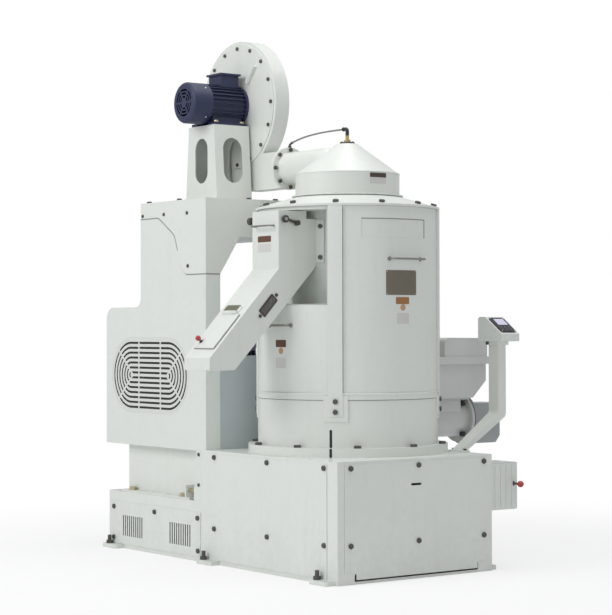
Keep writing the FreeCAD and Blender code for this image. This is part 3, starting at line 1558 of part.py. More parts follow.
def feed_tube():
    tube = pipe(feed_radius, feed_radius - 5.0, 0, feed_end, "y", (0, feed_z))
    tube = tube.cut(rod(chamber_radius + fit_gap, 0, 2000.0))
    neck = block(-68.0, 68.0, hopper_front + 12.0, hopper_back - 90.0, feed_z, hopper_z - 8.0)
    neck_hole = block(-62.0, 62.0, hopper_front + 18.0, hopper_back - 96.0, feed_z, hopper_z + 1)
    saddle = block(-92.0, 92.0, hopper_front, hopper_back - 66.0, hopper_z - 8.0, hopper_z)
    bore = rod(feed_radius - 5.0, chamber_radius, feed_end + 1, "y", (0, feed_z))
    collar = pipe(feed_flange_radius, feed_radius - 5.0, feed_end - 12.0, feed_end, "y", (0, feed_z))
    solid = joined([tube, neck, saddle, collar])
    return solid.cut(neck_hole).cut(bore)


def feed_gasket():
    return pipe(feed_flange_radius - 4.0, feed_radius - 8.0, feed_end, feed_end + 3.0, "y", (0, feed_z))


def feed_knobs():
    knobs = []
    for angle in (45.0, 135.0, 225.0, 315.0):
        turn = math.radians(angle)
        x = (feed_radius + 14.0) * math.cos(turn)
        z = feed_z + (feed_radius + 14.0) * math.sin(turn)
        stud = rod(4.0, feed_end - 30.0, feed_end - 12.0, "y", (x, z))
        grip = rod(11.0, feed_end - 46.0, feed_end - 26.0, "y", (x, z))
        knobs.append(joined([stud, grip]))
    return Part.makeCompound(knobs)


def feed_screw():
    low = chamber_inner + 4.0
    length = feed_end - low
    shaft = rod(feed_shaft, 0, length + 40.0)
    run = length - 24.0
    one = helical_flight(feed_shaft - 2.0, feed_radius - 8.0, 95.0, run / 95.0, 5.0)
    one.translate(V(0, 0, 12.0))
    return along_y(joined([shaft, one]), 0, low, feed_z)


def gearmotor():
    low = feed_end + 3.0
    half = gearmotor_half_width
    plate = rod(feed_flange_radius, low, low + 10.0, "y", (0, feed_z))
    plate = plate.cut(rod(feed_shaft + bearing_gap, low - 1, low + 40.0, "y", (0, feed_z)))
    box = prism([(-half, feed_z + half), (-half, feed_z - half - 14.0), (-half + 26.0, feed_z - half - 44.0),
                 (half - 26.0, feed_z - half - 44.0), (half, feed_z - half - 14.0), (half, feed_z + half)], "y",
                low + 10.0, gearmotor_back)
    box = box.cut(rod(feed_shaft + bearing_gap, low, low + 50.0, "y", (0, feed_z)))
    return joined([plate, box])


def hopper():
    half = hopper_half_width
    back_low = hopper_back - 70.0
    side = [(hopper_front, hopper_top), (hopper_front, hopper_z), (back_low, hopper_z), (hopper_back, hopper_z + 68.0),
            (hopper_back, hopper_top)]
    solid = prism(side, "x", -half, half)
    wire = outline(side, "x", -half + sheet)
    solid = solid.cut(Part.Face(wire.makeOffset2D(-sheet)).extrude(V(2 * (half - sheet), 0, 0)))
    solid = solid.cut(block(-62.0, 62.0, hopper_front + 18.0, hopper_back - 96.0, hopper_z - 1, hopper_z + sheet + 1))
    solid = solid.cut(block(-half + 14.0, half - 14.0, intake_front + 14.0, hopper_back - 14.0, hopper_top - sheet - 1,
                            hopper_top + 1))
    flange = block(-half - 12.0, half + 12.0, hopper_front, hopper_back + 12.0, hopper_top, intake_z)
    flange = flange.cut(block(-half + 14.0, half - 14.0, intake_front + 14.0, hopper_back - 14.0, hopper_top - 1,
                              intake_z + 1))
    return joined([solid, flange])


def intake_box():
    half = hopper_half_width
    side = [(intake_front, intake_z), (hopper_back + 8.0, intake_z), (hopper_back + 8.0, intake_top),
            (intake_front, intake_top, 18.0)]
    solid = prism(side, "x", -half, half)
    inner = prism([(intake_front + sheet, intake_z - 1), (hopper_back + 8.0 - sheet, intake_z - 1),
                   (hopper_back + 8.0 - sheet, intake_top - sheet), (intake_front + sheet, intake_top - sheet, 15.0)],
                  "x", -half + sheet, half - sheet)
    solid = solid.cut(inner)
    return solid.cut(block(-half + 24.0, half - 24.0, intake_front + 44.0, hopper_back - 24.0, intake_top - sheet - 1,
                           intake_top + 1))


# Control stand

def control_stand():
    right = stand_left + stand_width
    lower = [(stand_foot, base_height), (stand_foot + stand_tube * 0.78, base_height),
             (stand_back, stand_bend - 14.0, 24.0), (stand_back, stand_top), (stand_back - stand_tube, stand_top),
             (stand_back - stand_tube, stand_bend, 24.0)]
    tube = prism(lower, "x", stand_left, right)
    foot = block(stand_left - 14.0, right + 14.0, stand_foot + 4.0, base_back - 2.0, base_height, base_height + 8.0)
    collar = block(stand_left - 8.0, right + 8.0, stand_back - stand_tube - 8.0, stand_back + 8.0, stand_top - 14.0,
                   stand_top)
    return joined([tube, foot, collar])


def stand_bolts():
    heads = []
    for x in (stand_left - 7.0, stand_left + stand_width + 7.0):
        heads.append(hex_head((x, stand_foot + 24.0, base_height + 8.0), (0, 0, 1), 11.0, 6.0))
    heads.append(hex_head((stand_left + 4.0, stand_back - stand_tube - 8.0, stand_top - 7.0), (0, -1, 0), 13.0, 6.0))
    return Part.makeCompound(heads)


head_left = stand_left - 48.0
head_front = stand_back - stand_tube / 2 - head_depth / 2 + 15.0
head_flat = 40.0


def control_head():
    right = head_left + head_width
    top = stand_top + head_height
    side = [(head_left, stand_top), (right, stand_top, 6.0), (right, stand_top + head_lip, 4.0),
            (head_left + head_flat, top, 8.0), (head_left, top, 12.0)]
    return prism(side, "y", head_front, head_front + head_depth)


def control_screen():
    """Bezel with its screen on the sloping face of the head."""
    right = head_left + head_width
    low = V(right, 0, stand_top + head_lip)
    high = V(head_left + head_flat, 0, stand_top + head_height)
    along = (high - low).normalize()
    out = V(-along.z, 0, along.x)
    if out.z < 0:
        out = out * -1
    length = (high - low).Length
    corners = []
    for u, v in ((10.0, 0.0), (length - 10.0, 0.0), (length - 10.0, 4.0), (10.0, 4.0)):
        point = low + along * u + out * v
        corners.append((point.x, point.z))
    return prism(corners, "y", head_front + 9.0, head_front + head_depth - 9.0)


# Residue box

residue_left = residue_right - residue_width
residue_back = base_back + residue_depth
residue_top = residue_bottom + residue_height
residue_hinge_x = residue_right + 6.0
residue_hinge_y = base_back + 8.0


def residue_box():
    solid = block(residue_left, residue_right, base_back, residue_back, residue_bottom, residue_top)
    solid = solid.cut(block(residue_left + sheet, residue_right + 1, base_back + sheet, residue_back - sheet,
                            residue_bottom + sheet, residue_top - sheet))
    return solid


def residue_door():
    low = residue_bottom + 2.0
    high = residue_top - 2.0
    plate = block(residue_right + 0.4, residue_right + 4.4, base_back + 15.0, residue_back + 2.0, low, high)
    for index in range(4):
        y = base_back + 34.0 + index * 28.0
        plate = plate.fuse(block(residue_right + 4.4, residue_right + 7.4, y - 3.0, y + 3.0, low + 8.0, high - 8.0))
    eye = rod(6.0, low + 20.0, high - 20.0, "z", (residue_hinge_x, residue_hinge_y))
    web = block(residue_right + 1.4, residue_right + 4.4, residue_hinge_y, base_back + 16.0, low + 20.0, high - 20.0)
    solid = joined([plate, eye, web])
    return solid.cut(rod(3.0 + bearing_gap, low, high, "z", (residue_hinge_x, residue_hinge_y)))


def residue_hinge():
    low = residue_bottom + 2.0
    high = residue_top - 2.0
    pin = rod(3.0, low + 2.0, high - 2.0, "z", (residue_hinge_x, residue_hinge_y))
    ears = []
    for z0, z1 in ((low + 2.0, low + 19.5), (high - 19.5, high - 2.0)):
        ears.append(rod(6.0, z0, z1, "z", (residue_hinge_x, residue_hinge_y)))
        ears.append(block(residue_right, residue_hinge_x, base_back, residue_hinge_y + 4.0, z0, z1))
    return joined([pin] + ears)


def residue_knob():
    z = (residue_bottom + residue_top) / 2 + 8.0
    y = residue_back - 18.0
    x = residue_right + 4.4
    stem = rod(4.5, x, x + 34.0, "x", (y, z))
    return joined([stem, Part.makeSphere(12.5, V(x + 42.0, y, z))])


def grouped(*makers):
    """Separate solids that share one node."""
    solids = []
    for make in makers:
        solids += make().Solids
    return Part.makeCompound(solids)


def welded(*makers):
    """Pieces that are welded into one."""
    return joined([make() for make in makers])


nodes = {
    "main_base": lambda: welded(main_base, bran_spigot),
    "base_panels": lambda: grouped(base_front_panel, base_side_panel, motor_base_panel),
    "motor_base": motor_base,
    "motor_plinth": motor_plinth,
    "levelling_bolts": levelling_bolts,
    "plinth_bolts": lambda: grouped(plinth_bolts, tension_screw),
    "panel_bolts": lambda: grouped(base_panel_bolts, motor_panel_bolts, platform_screws, stand_bolts, chute_bolts,
                                   sight_bolts, fan_cover_bolts, pipe_bolt_set),
    "main_motor": lambda: grouped(main_motor_frame, main_motor_cowl, main_motor_terminal_box),
    "motor_housing": motor_housing,
    "motor_pulley": lambda: grouped(motor_pulley, motor_shaft),
    "drive_belts": drive_belts,
    "motor_cover": motor_cover,
    "motor_grille": motor_grille,
    "fan_platform": lambda: welded(fan_platform, tower_tie),
    "column_uprights": column_uprights,
    "fan_pedestal": fan_pedestal,
    "fan_motor": lambda: grouped(fan_motor_frame, fan_terminal_box),
    "fan_motor_cowl": fan_motor_cowl,
    "fan_shaft": lambda: grouped(fan_shaft, cooling_fan),
    "impeller": impeller,
    "fan_casing": fan_casing,
    "fan_cover": fan_cover,
    "fan_inlet": fan_inlet,
    "air_hood": air_hood,
    "air_line_fittings": lambda: grouped(top_fitting, top_elbow, line_nipple),
    "air_line": air_line,
    "lower_shell": lambda: grouped(tower_ring, lower_shell, rim_ring),
    "tower_posts": lambda: grouped(tower_posts, post_shoes),
    "tower_bolts": lambda: grouped(tower_ring_bolts, post_bolts, shoulder_bolts),
    "right_door": right_door,
    "right_door_handle": right_door_handle,
    "front_cover": front_door,
    "rear_covers": lambda: grouped(left_cover, rear_cover),
    "bow_handles": lambda: grouped(front_door_handle, chute_handle),
    "tower_crown": lambda: grouped(shoulder, crown_plate),
    "outlet_bay": lambda: welded(outlet_bay, outlet_throat),
    "feed_chamber": feed_chamber,
    "screen_cage": screen_cage,
    "bearing_housing": lambda: grouped(bearing_housing, spindle_bearings),
    "spindle_shaft": spindle_shaft,
    "tower_pulley": tower_pulley,
    "screw_roll": screw_roll,
    "roller_hub": lambda: grouped(roller_hub, spindle_nut),
    "emery_rollers": emery_rollers,
    "outlet_chute": lambda: welded(outlet_chute, lid_hinge),
    "chute_lid": chute_lid,
    "lid_knob": lid_knob,
    "sight_glass": sight_glass,
    "pressure_gate": pressure_gate,
    "gate_lever": lambda: grouped(gate_lever, gate_knob),
    "feed_tube": feed_tube,
    "feed_clamps": lambda: grouped(feed_gasket, feed_knobs),
    "feed_screw": feed_screw,
    "gearmotor": gearmotor,
    "hopper": lambda: grouped(hopper, intake_box),
    "control_stand": lambda: grouped(control_stand, control_head),
    "control_screen": control_screen,
    "residue_box": lambda: welded(residue_box, residue_hinge),
    "residue_door": residue_door,
    "residue_knob": residue_knob,
}

os.makedirs("parts", exist_ok=True)
for name, make in nodes.items():
    shape = make()
    shape.exportStep(os.path.join("parts", name + ".step"))
    print(name, "solids", len(shape.Solids), "valid", shape.isValid())
print(len(nodes), "nodes written")
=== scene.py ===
import math
import bpy
import bmesh
from mathutils import Matrix, Vector
from mathutils.bvhtree import BVHTree


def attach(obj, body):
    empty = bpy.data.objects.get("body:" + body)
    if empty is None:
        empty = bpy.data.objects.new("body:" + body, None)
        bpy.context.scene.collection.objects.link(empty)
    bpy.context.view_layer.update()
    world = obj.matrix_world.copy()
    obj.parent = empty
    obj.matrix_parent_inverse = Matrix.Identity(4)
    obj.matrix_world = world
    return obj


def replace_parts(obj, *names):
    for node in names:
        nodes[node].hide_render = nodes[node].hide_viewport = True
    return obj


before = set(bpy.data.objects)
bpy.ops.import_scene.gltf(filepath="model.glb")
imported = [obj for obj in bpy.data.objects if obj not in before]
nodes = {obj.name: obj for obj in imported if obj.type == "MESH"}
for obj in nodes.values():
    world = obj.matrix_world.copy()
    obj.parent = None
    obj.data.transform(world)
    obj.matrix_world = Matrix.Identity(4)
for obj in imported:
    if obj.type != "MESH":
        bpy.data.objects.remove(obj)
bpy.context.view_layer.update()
scene = bpy.context.scene
print("rice mill: frame loaded with", len(nodes), "nodes")


# camera, matched to the photograph

camera = {"spot": (5.8734, -4.508, 0.9252), "looks": (-0.80634, 0.59123, 0.01606), "roll": -0.12,
          "lens": 111.11, "sensor": 36.0, "shiftY": -0.01764}


def placeCamera():
    data = bpy.data.cameras.new("photoCamera")
    data.sensor_width = camera["sensor"]
    data.lens = camera["lens"]
    data.shift_y = camera["shiftY"]
    data.dof.use_dof = False
    obj = bpy.data.objects.new("photoCamera", data)
    turn = Vector(camera["looks"]).to_track_quat("-Z", "Y").to_matrix().to_4x4()
    roll = Matrix.Rotation(math.radians(camera["roll"]), 4, "Z")
    obj.matrix_world = Matrix.Translation(camera["spot"]) @ turn @ roll
    scene.collection.objects.link(obj)
    scene.camera = obj


placeCamera()
scene.view_settings.view_transform = "Standard"


# shader helpers: sockets that add up like numbers

class Signal:
    def __init__(self, home, socket):
        self.home = home
        self.socket = socket

    def maths(self, operation, first, second):
        return self.home.node("ShaderNodeMath", {"operation": operation}, {0: first, 1: second})

    def __add__(self, other):
        return self.maths("ADD", self, other)

    def __radd__(self, other):
        return self.maths("ADD", other, self)

    def __sub__(self, other):
        return self.maths("SUBTRACT", self, other)

    def __rsub__(self, other):
        return self.maths("SUBTRACT", other, self)

    def __mul__(self, other):
        return self.maths("MULTIPLY", self, other)

    def __rmul__(self, other):
        return self.maths("MULTIPLY", other, self)


class NodeSet:  # the nodes of one material or of the world
    def __init__(self, tree):
        self.tree = tree

    def node(self, kind, settings, inputs, output=0):
        made = self.tree.nodes.new(kind)
        for key, value in settings.items():
            setattr(made, key, value)
        for key, value in inputs.items():
            self.feed(made.inputs[key], value)
        return Signal(self, made.outputs[output])

    def feed(self, socket, value):
        if isinstance(value, Signal):
            self.tree.links.new(value.socket, socket)
        else:
            socket.default_value = value


class Finish(NodeSet):
    def __init__(self, name):
        self.material = bpy.data.materials.new(name)
        self.material.use_nodes = True
        super().__init__(self.material.node_tree)
        self.shader = self.tree.nodes["Principled BSDF"]
        self.place = self.node("ShaderNodeTexCoord", {}, {}, "Object")

    def surface(self, values):
        for key, value in values.items():
            self.feed(self.shader.inputs[key], value)
        return self.material

    def mix(self, factor, first, second):
        return self.node("ShaderNodeMix", {"data_type": "RGBA"}, {0: factor, 6: first, 7: second}, 2)

    def noise(self, scale, detail=4.0, roughness=0.6, stretch=(1, 1, 1)):
        where = self.node("ShaderNodeVectorMath", {"operation": "MULTIPLY"}, {0: self.place, 1: stretch})
        values = {"Vector": where, "Scale": scale, "Detail": detail, "Roughness": roughness}
        return self.node("ShaderNodeTexNoise", {}, values, "Fac")

    def rises(self, value, low, high):  # 0 at low, 1 at high, smooth between
        values = {"Value": value, "From Min": low, "From Max": high, "To Min": 0.0, "To Max": 1.0}
        return self.node("ShaderNodeMapRange", {"interpolation_type": "SMOOTHSTEP"}, values, "Result")

    def axis(self, vector, letter):
        return self.node("ShaderNodeSeparateXYZ", {}, {0: vector}, letter)

    def bump(self, height, distance, strength, under=None):
        inputs = {"Height": height, "Distance": distance, "Strength": strength}
        if under is not None:
            inputs["Normal"] = under
        return self.node("ShaderNodeBump", {}, inputs, "Normal")

    def softEdge(self, radius):
        return self.node("ShaderNodeBevel", {"samples": 4}, {"Radius": radius}, "Normal")


def rgb(red, green, blue):
    return (red, green, blue, 1.0)


# enamels: name, tint, worn tint and how wavy the sheet is

enamel = {"dust": rgb(0.46, 0.43, 0.37), "scuffed": rgb(0.56, 0.57, 0.54), "roughness": 0.36, "streaks": 0.05,
          "scuffs": 0.16, "grimeBelow": 0.34, "grimeFoot": 0.09, "grimeAll": 0.02, "orangePeel": 0.00009,
          "sheetWave": 0.0009, "edge": 0.0016, "fixed": {"Coat Weight": 0.22, "Coat Roughness": 0.16}}
enamels = {
    "enamel": ("millEnamel", rgb(0.80, 0.83, 0.785), rgb(0.70, 0.725, 0.68), 1.0),
    "door": ("doorEnamel", rgb(0.79, 0.825, 0.785), rgb(0.69, 0.72, 0.685), 1.6),
    "grille": ("grilleEnamel", rgb(0.74, 0.77, 0.73), rgb(0.64, 0.67, 0.63), 0.3),
    "gear": ("gearGrey", rgb(0.38, 0.40, 0.405), rgb(0.31, 0.33, 0.335), 0.4),
    # the housing's darker blue-grey tint is painted shade for its side, which sits in the tower's shadow
    "housing": ("housingShadedEnamel", rgb(0.56, 0.61, 0.635), rgb(0.48, 0.525, 0.55), 1.0),
    # the feeder's darker grey tint is painted shade for the hopper, feed tube and residue box at the back of
    # the mill
    "feeder": ("feederShadedEnamel", rgb(0.665, 0.68, 0.665), rgb(0.57, 0.58, 0.565), 1.0),
}


def enamelPaint(name, tint, worn, wave):
    f = Finish(name)
    patches = f.noise(2.3)
    mottle = f.noise(38.0, 5.0, 0.6)
    streaks = f.rises(f.noise(3.0, 3.0, 0.55, (9.0, 9.0, 0.7)), 0.52, 0.74)
    foot = f.rises(f.axis(f.place, "Z"), enamel["grimeBelow"], 0.0)
    grime = f.rises(mottle * 0.5 + f.noise(7.0) * 0.5, 0.40, 0.62)
    grime = grime * (foot * enamel["grimeFoot"] + enamel["grimeAll"])
    scuffs = f.rises(f.noise(75.0, 2.0, 0.4, (1.0, 1.0, 0.35)), 0.70, 0.76) * enamel["scuffs"]
    colour = f.mix(patches * 0.34 + mottle * 0.16, tint, worn)
    colour = f.mix(streaks * enamel["streaks"] + grime, colour, enamel["dust"])
    colour = f.mix(scuffs, colour, enamel["scuffed"])
    roughness = enamel["roughness"] + mottle * 0.06 + grime * 0.5 + scuffs
    peel = f.bump(f.noise(520.0, 2.0, 0.5), enamel["orangePeel"], 0.35, f.softEdge(enamel["edge"]))
    normal = f.bump(f.noise(4.0, 2.0, 0.4), enamel["sheetWave"] * wave, 0.5, peel)
    return f.surface({"Base Color": colour, "Roughness": roughness, "Normal": normal, **enamel["fixed"]})


# the inner tint, darker than the mill's enamel, is painted shade for the insides; the bran patches are real
# dust
inner = {"tint": rgb(0.66, 0.70, 0.66), "shade": rgb(0.54, 0.57, 0.53), "bran": rgb(0.52, 0.46, 0.34),
         "branShare": 0.20, "roughness": 0.5, "edge": 0.001}


def innerShadedEnamel():
    f = Finish("innerShadedEnamel")
    mottle = f.noise(30.0, 5.0, 0.6)
    bran = f.rises(f.noise(14.0, 5.0, 0.65), 0.45, 0.66)
    colour = f.mix(mottle * 0.4, inner["tint"], inner["shade"])
    colour = f.mix(bran * inner["branShare"], colour, inner["bran"])
    return f.surface({"Base Color": colour, "Roughness": inner["roughness"] + bran * 0.25,
                      "Normal": f.softEdge(inner["edge"])})


motor = {"tint": rgb(0.018, 0.024, 0.07), "shade": rgb(0.032, 0.04, 0.10), "dust": rgb(0.26, 0.26, 0.27),
         "dustShare": 0.30, "roughness": 0.42, "grain": 0.00018, "edge": 0.0012}


def motorEnamel():
    f = Finish("motorEnamel")
    mottle = f.noise(46.0)
    upward = f.axis(f.node("ShaderNodeNewGeometry", {}, {}, "Normal"), "Z")
    dusty = f.rises(upward, 0.35, 0.95)  # dust lies on what faces up
    colour = f.mix(mottle * 0.6, motor["tint"], motor["shade"])
    colour = f.mix(dusty * mottle * motor["dustShare"], colour, motor["dust"])
    grain = f.bump(f.noise(300.0, 3.0, 0.6), motor["grain"], 0.5, f.softEdge(motor["edge"]))
    return f.surface({"Base Color": colour, "Roughness": motor["roughness"] + mottle * 0.12 + dusty * 0.14,
                      "Normal": grain})


# bare metals: name, tint, dark tint, roughness, scale of the grain and its stretch

metal = {"scratch": 0.00005, "edge": 0.0006}
metals = {
    "blackened": ("blackenedSteel", rgb(0.15, 0.148, 0.138), rgb(0.075, 0.072, 0.066), 0.42, 90.0, (1, 1, 1)),
    "zinc": ("yellowZinc", rgb(0.62, 0.55, 0.34), rgb(0.46, 0.43, 0.30), 0.30, 60.0, (1, 1, 1)),
    "bright": ("brightBar", rgb(0.62, 0.62, 0.60), rgb(0.42, 0.42, 0.41), 0.22, 120.0, (3, 3, 1)),
    # the handle tint is darker than bright steel: painted shade for the thin handle rods
    "handle": ("shadedHandleBar", rgb(0.34, 0.335, 0.31), rgb(0.20, 0.195, 0.175), 0.32, 120.0, (3, 3, 1)),
    "shaft": ("groundShaft", rgb(0.56, 0.56, 0.56), rgb(0.40, 0.40, 0.40), 0.26, 140.0, (1, 1, 6)),
    "brass": ("brassStem", rgb(0.58, 0.42, 0.17), rgb(0.38, 0.27, 0.11), 0.28, 90.0, (1, 1, 3)),
}


def bareMetal(name, tint, dark, roughness, grain, stretch):
    f = Finish(name)
    brushed = f.noise(grain, 3.0, 0.6, stretch)
    stain = f.rises(f.noise(26.0), 0.46, 0.70)
    normal = f.bump(brushed, metal["scratch"], 0.5, f.softEdge(metal["edge"]))
    return f.surface({"Base Color": f.mix(brushed * 0.5 + stain * 0.3, tint, dark), "Normal": normal,
                      "Metallic": 1.0 - stain * 0.12, "Roughness": roughness + brushed * 0.14 + stain * 0.10})


casting = {"tint": rgb(0.20, 0.205, 0.21), "pale": rgb(0.31, 0.31, 0.30), "roughness": 0.48, "grain": 0.0005,
           "fixed": {"Metallic": 0.55}}


def greyCasting():
    f = Finish("greyCasting")
    coarse = f.noise(160.0, 4.0, 0.65)
    return f.surface({"Base Color": f.mix(f.noise(18.0, 3.0, 0.5), casting["tint"], casting["pale"]),
                      "Roughness": casting["roughness"] + coarse * 0.2,
                      "Normal": f.bump(coarse, casting["grain"], 0.6), **casting["fixed"]})


emery = {"grain": rgb(0.09, 0.085, 0.08), "bond": rgb(0.30, 0.28, 0.26), "scale": 420.0, "grit": 0.0012,
         "fixed": {"Roughness": 0.92}}


def emeryStone():
    f = Finish("emeryStone")
    grit = f.node("ShaderNodeTexVoronoi", {}, {"Vector": f.place, "Scale": emery["scale"]}, "Distance")
    return f.surface({"Base Color": f.mix(f.rises(grit, 0.1, 0.6), emery["grain"], emery["bond"]),
                      "Normal": f.bump(grit, emery["grit"], 0.9), **emery["fixed"]})


# moulded rubber and plastic: name, tint, roughness and depth of the pebbled skin

mouldings = {
    "belt": ("beltRubber", rgb(0.025, 0.025, 0.025), 0.62, 0.0003),
    "black": ("mouldedBlack", rgb(0.018, 0.018, 0.019), 0.40, 0.0001),
    "bezel": ("bezelBlack", rgb(0.022, 0.02, 0.026), 0.30, 0.00004),
    "key": ("keyGrey", rgb(0.10, 0.098, 0.115), 0.42, 0.00006),
}
mouldedWear = rgb(0.10, 0.10, 0.10)


def mouldedBlack(name, tint, roughness, pebble):
    f = Finish(name)
    skin = f.noise(600.0, 2.0, 0.5)
    wear = f.rises(f.noise(40.0), 0.55, 0.75)
    return f.surface({"Base Color": f.mix(wear * 0.35, tint, mouldedWear),
                      "Roughness": roughness + skin * 0.12 + wear * 0.1, "Normal": f.bump(skin, pebble, 0.5)})


red = {"tint": rgb(0.42, 0.022, 0.03), "light": rgb(0.55, 0.04, 0.042), "roughness": 0.20, "ripple": 0.00008,
       "fixed": {"Coat Weight": 0.4, "Coat Roughness": 0.08}}


def redPlastic():
    f = Finish("redKnob")
    cloud = f.noise(60.0, 3.0, 0.5)
    return f.surface({"Base Color": f.mix(cloud * 0.5, red["tint"], red["light"]),
                      "Roughness": red["roughness"] + cloud * 0.14,
                      "Normal": f.bump(f.noise(220.0, 2.0, 0.5), red["ripple"], 0.4), **red["fixed"]})


pane = {"dark": rgb(0.055, 0.055, 0.05), "film": rgb(0.15, 0.14, 0.12), "roughness": 0.08,
        "fixed": {"Coat Weight": 1.0, "Coat Roughness": 0.03}}


def sightPane():
    f = Finish("sightPane")
    film = f.rises(f.noise(50.0), 0.40, 0.70)
    return f.surface({"Base Color": f.mix(film * 0.5, pane["dark"], pane["film"]),
                      "Roughness": pane["roughness"] + film * 0.22, **pane["fixed"]})


tube = {"tint": rgb(0.17, 0.17, 0.17), "pale": rgb(0.26, 0.26, 0.25), "roughness": 0.38, "skin": 0.0002}


def hoseGrey():
    f = Finish("hoseGrey")
    scuff = f.noise(90.0, 3.0, 0.5)
    return f.surface({"Base Color": f.mix(scuff, tube["tint"], tube["pale"]),
                      "Roughness": tube["roughness"] + scuff * 0.2,
                      "Normal": f.bump(scuff, tube["skin"], 0.3)})


# plates, labels and seam shades: tint, shade, metallic and roughness

labels = {
    "plateOlive": (rgb(0.23, 0.205, 0.155), rgb(0.15, 0.14, 0.115), 0.55, 0.42),
    "plateBrown": (rgb(0.15, 0.06, 0.035), rgb(0.095, 0.045, 0.03), 0.1, 0.45),
    "plateOrange": (rgb(0.42, 0.20, 0.065), rgb(0.30, 0.15, 0.06), 0.25, 0.42),
    "platePale": (rgb(0.69, 0.685, 0.665), rgb(0.61, 0.60, 0.585), 0.0, 0.5),
    "plateDark": (rgb(0.055, 0.035, 0.035), rgb(0.10, 0.07, 0.06), 0.1, 0.4),
    "plateAmber": (rgb(0.60, 0.36, 0.20), rgb(0.48, 0.27, 0.14), 0.0, 0.45),
    "plateGreen": (rgb(0.21, 0.215, 0.13), rgb(0.13, 0.135, 0.085), 0.35, 0.42),
    "seamShade": (rgb(0.20, 0.205, 0.185), rgb(0.30, 0.305, 0.28), 0.0, 0.7),
}


def labelPlate(name, tint, shade, metallic, roughness):
    f = Finish(name)
    brushed = f.noise(70.0, 3.0, 0.6, (0.5, 0.5, 9.0))
    cloud = f.noise(22.0)
    return f.surface({"Base Color": f.mix(brushed * 0.5 + cloud * 0.4, tint, shade), "Metallic": metallic,
                      "Roughness": roughness + brushed * 0.16, "Normal": f.bump(brushed, 0.00006, 0.5)})


screen = {"tint": rgb(0.62, 0.60, 0.76), "shade": rgb(0.48, 0.47, 0.66),
          "fixed": {"Roughness": 0.16, "Emission Strength": 0.25, "Coat Weight": 0.6, "Coat Roughness": 0.05}}


def screenFace():
    f = Finish("screenFace")
    colour = f.mix(f.noise(240.0, 2.0, 0.5) * 0.25, screen["tint"], screen["shade"])
    return f.surface({"Base Color": colour, "Emission Color": colour, **screen["fixed"]})


woven = {"wire": rgb(0.016, 0.017, 0.018), "dust": rgb(0.06, 0.06, 0.054), "mesh": 260.0, "depth": 0.0002,
         "roughness": 0.62, "fixed": {"Metallic": 0.3}}


def wovenGauze():
    f = Finish("wovenGauze")
    dust = f.rises(f.noise(24.0), 0.40, 0.72)
    wires = {"Vector": f.place, "Scale": woven["mesh"]}
    warp = f.node("ShaderNodeTexWave", {"bands_direction": "X"}, wires, "Fac")
    weft = f.node("ShaderNodeTexWave", {"bands_direction": "Z"}, wires, "Fac")
    weave = warp * 0.5 + weft * 0.5
    return f.surface({"Base Color": f.mix(weave * 0.5 + dust * 0.3, woven["wire"], woven["dust"]),
                      "Roughness": woven["roughness"] + dust * 0.2,
                      "Normal": f.bump(weave, woven["depth"], 0.6), **woven["fixed"]})


# which finish each node of the frame gets; the rest are enamel

finishes = {"inner": innerShadedEnamel(), "motor": motorEnamel(), "casting": greyCasting(), "emery": emeryStone(),
            "red": redPlastic(), "pane": sightPane(), "hose": hoseGrey(), "screen": screenFace(),
            "gauze": wovenGauze()}
for make, looks in ((enamelPaint, enamels), (bareMetal, metals), (mouldedBlack, mouldings)):
    finishes.update({key: make(*look) for key, look in looks.items()})
finishes.update({key: labelPlate(key, *look) for key, look in labels.items()})
nodeFinish = {
    "door": ["right_door", "front_cover", "rear_covers", "chute_lid", "residue_door", "base_panels",
             "motor_cover"],
    "inner": ["outlet_bay", "feed_chamber"],
    "motor": ["main_motor", "fan_motor", "fan_motor_cowl"],
    "grille": ["motor_grille"],
    "blackened": ["levelling_bolts", "panel_bolts", "tower_bolts", "gate_lever"],
    "zinc": ["plinth_bolts"],
    "handle": ["bow_handles", "right_door_handle"],
    "bright": ["impeller", "screen_cage", "pressure_gate", "feed_screw"],
    "shaft": ["spindle_shaft", "fan_shaft"],
    "brass": ["air_line_fittings"],
    "gear": ["gearmotor"],
    "housing": ["motor_housing"],
    "feeder": ["hopper", "feed_tube", "residue_box"],
    "casting": ["motor_pulley", "tower_pulley", "bearing_housing", "screw_roll", "roller_hub"],
    "emery": ["emery_rollers"],
    "belt": ["drive_belts"],
    "black": ["feed_clamps"],
    "bezel": ["control_screen"],
    "red": ["lid_knob", "residue_knob"],
    "pane": ["sight_glass"],
    "hose": ["air_line"],
}


def dressNodes():
    chosen = {name: key for key, names in nodeFinish.items() for name in names}
    for name, node in nodes.items():
        node.data.materials.clear()
        node.data.materials.append(finishes[chosen.get(name, "enamel")])


dressNodes()
print("rice mill: finishes on", len(nodes), "nodes")


# mesh helpers

def addPiece(name, mesh, finish, angle=35.0, body="machine_frame"):
    data = bpy.data.meshes.new(name)
    bmesh.ops.recalc_face_normals(mesh, faces=mesh.faces)
    mesh.to_mesh(data)
    mesh.free()
    data.shade_smooth()
    data.set_sharp_from_angle(angle=math.radians(angle))
    data.materials.append(finishes[finish])
    obj = bpy.data.objects.new(name, data)
    scene.collection.objects.link(obj)
    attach(obj, body)
    return obj


def aim(spot, direction, up=(0, 0, 1)):  # local Z points along direction
    z = Vector(direction).normalized()
    x = Vector(up).cross(z)
    if x.length < 1e-4:
        x = Vector((1, 0, 0))
    x.normalize()
    y = z.cross(x)
    turn = Matrix((x, y, z)).transposed().to_4x4()
    return Matrix.Translation(spot) @ turn


def turns(steps, start=0.0):
    return [start + 2 * math.pi * index / steps for index in range(steps)]


def polar(radius, turn, height=0.0):
    return Vector((radius * math.cos(turn), radius * math.sin(turn), height))


def fourSpots(halfWide, halfHigh):
    return [(x, y) for x in (-halfWide, halfWide) for y in (-halfHigh, halfHigh)]


def ring(mesh, place, spots):  # points round an axis, a (radius, height) for each turn
    return [mesh.verts.new(place @ polar(radius, turn, height))
            for turn, (radius, height) in zip(turns(len(spots)), spots)]


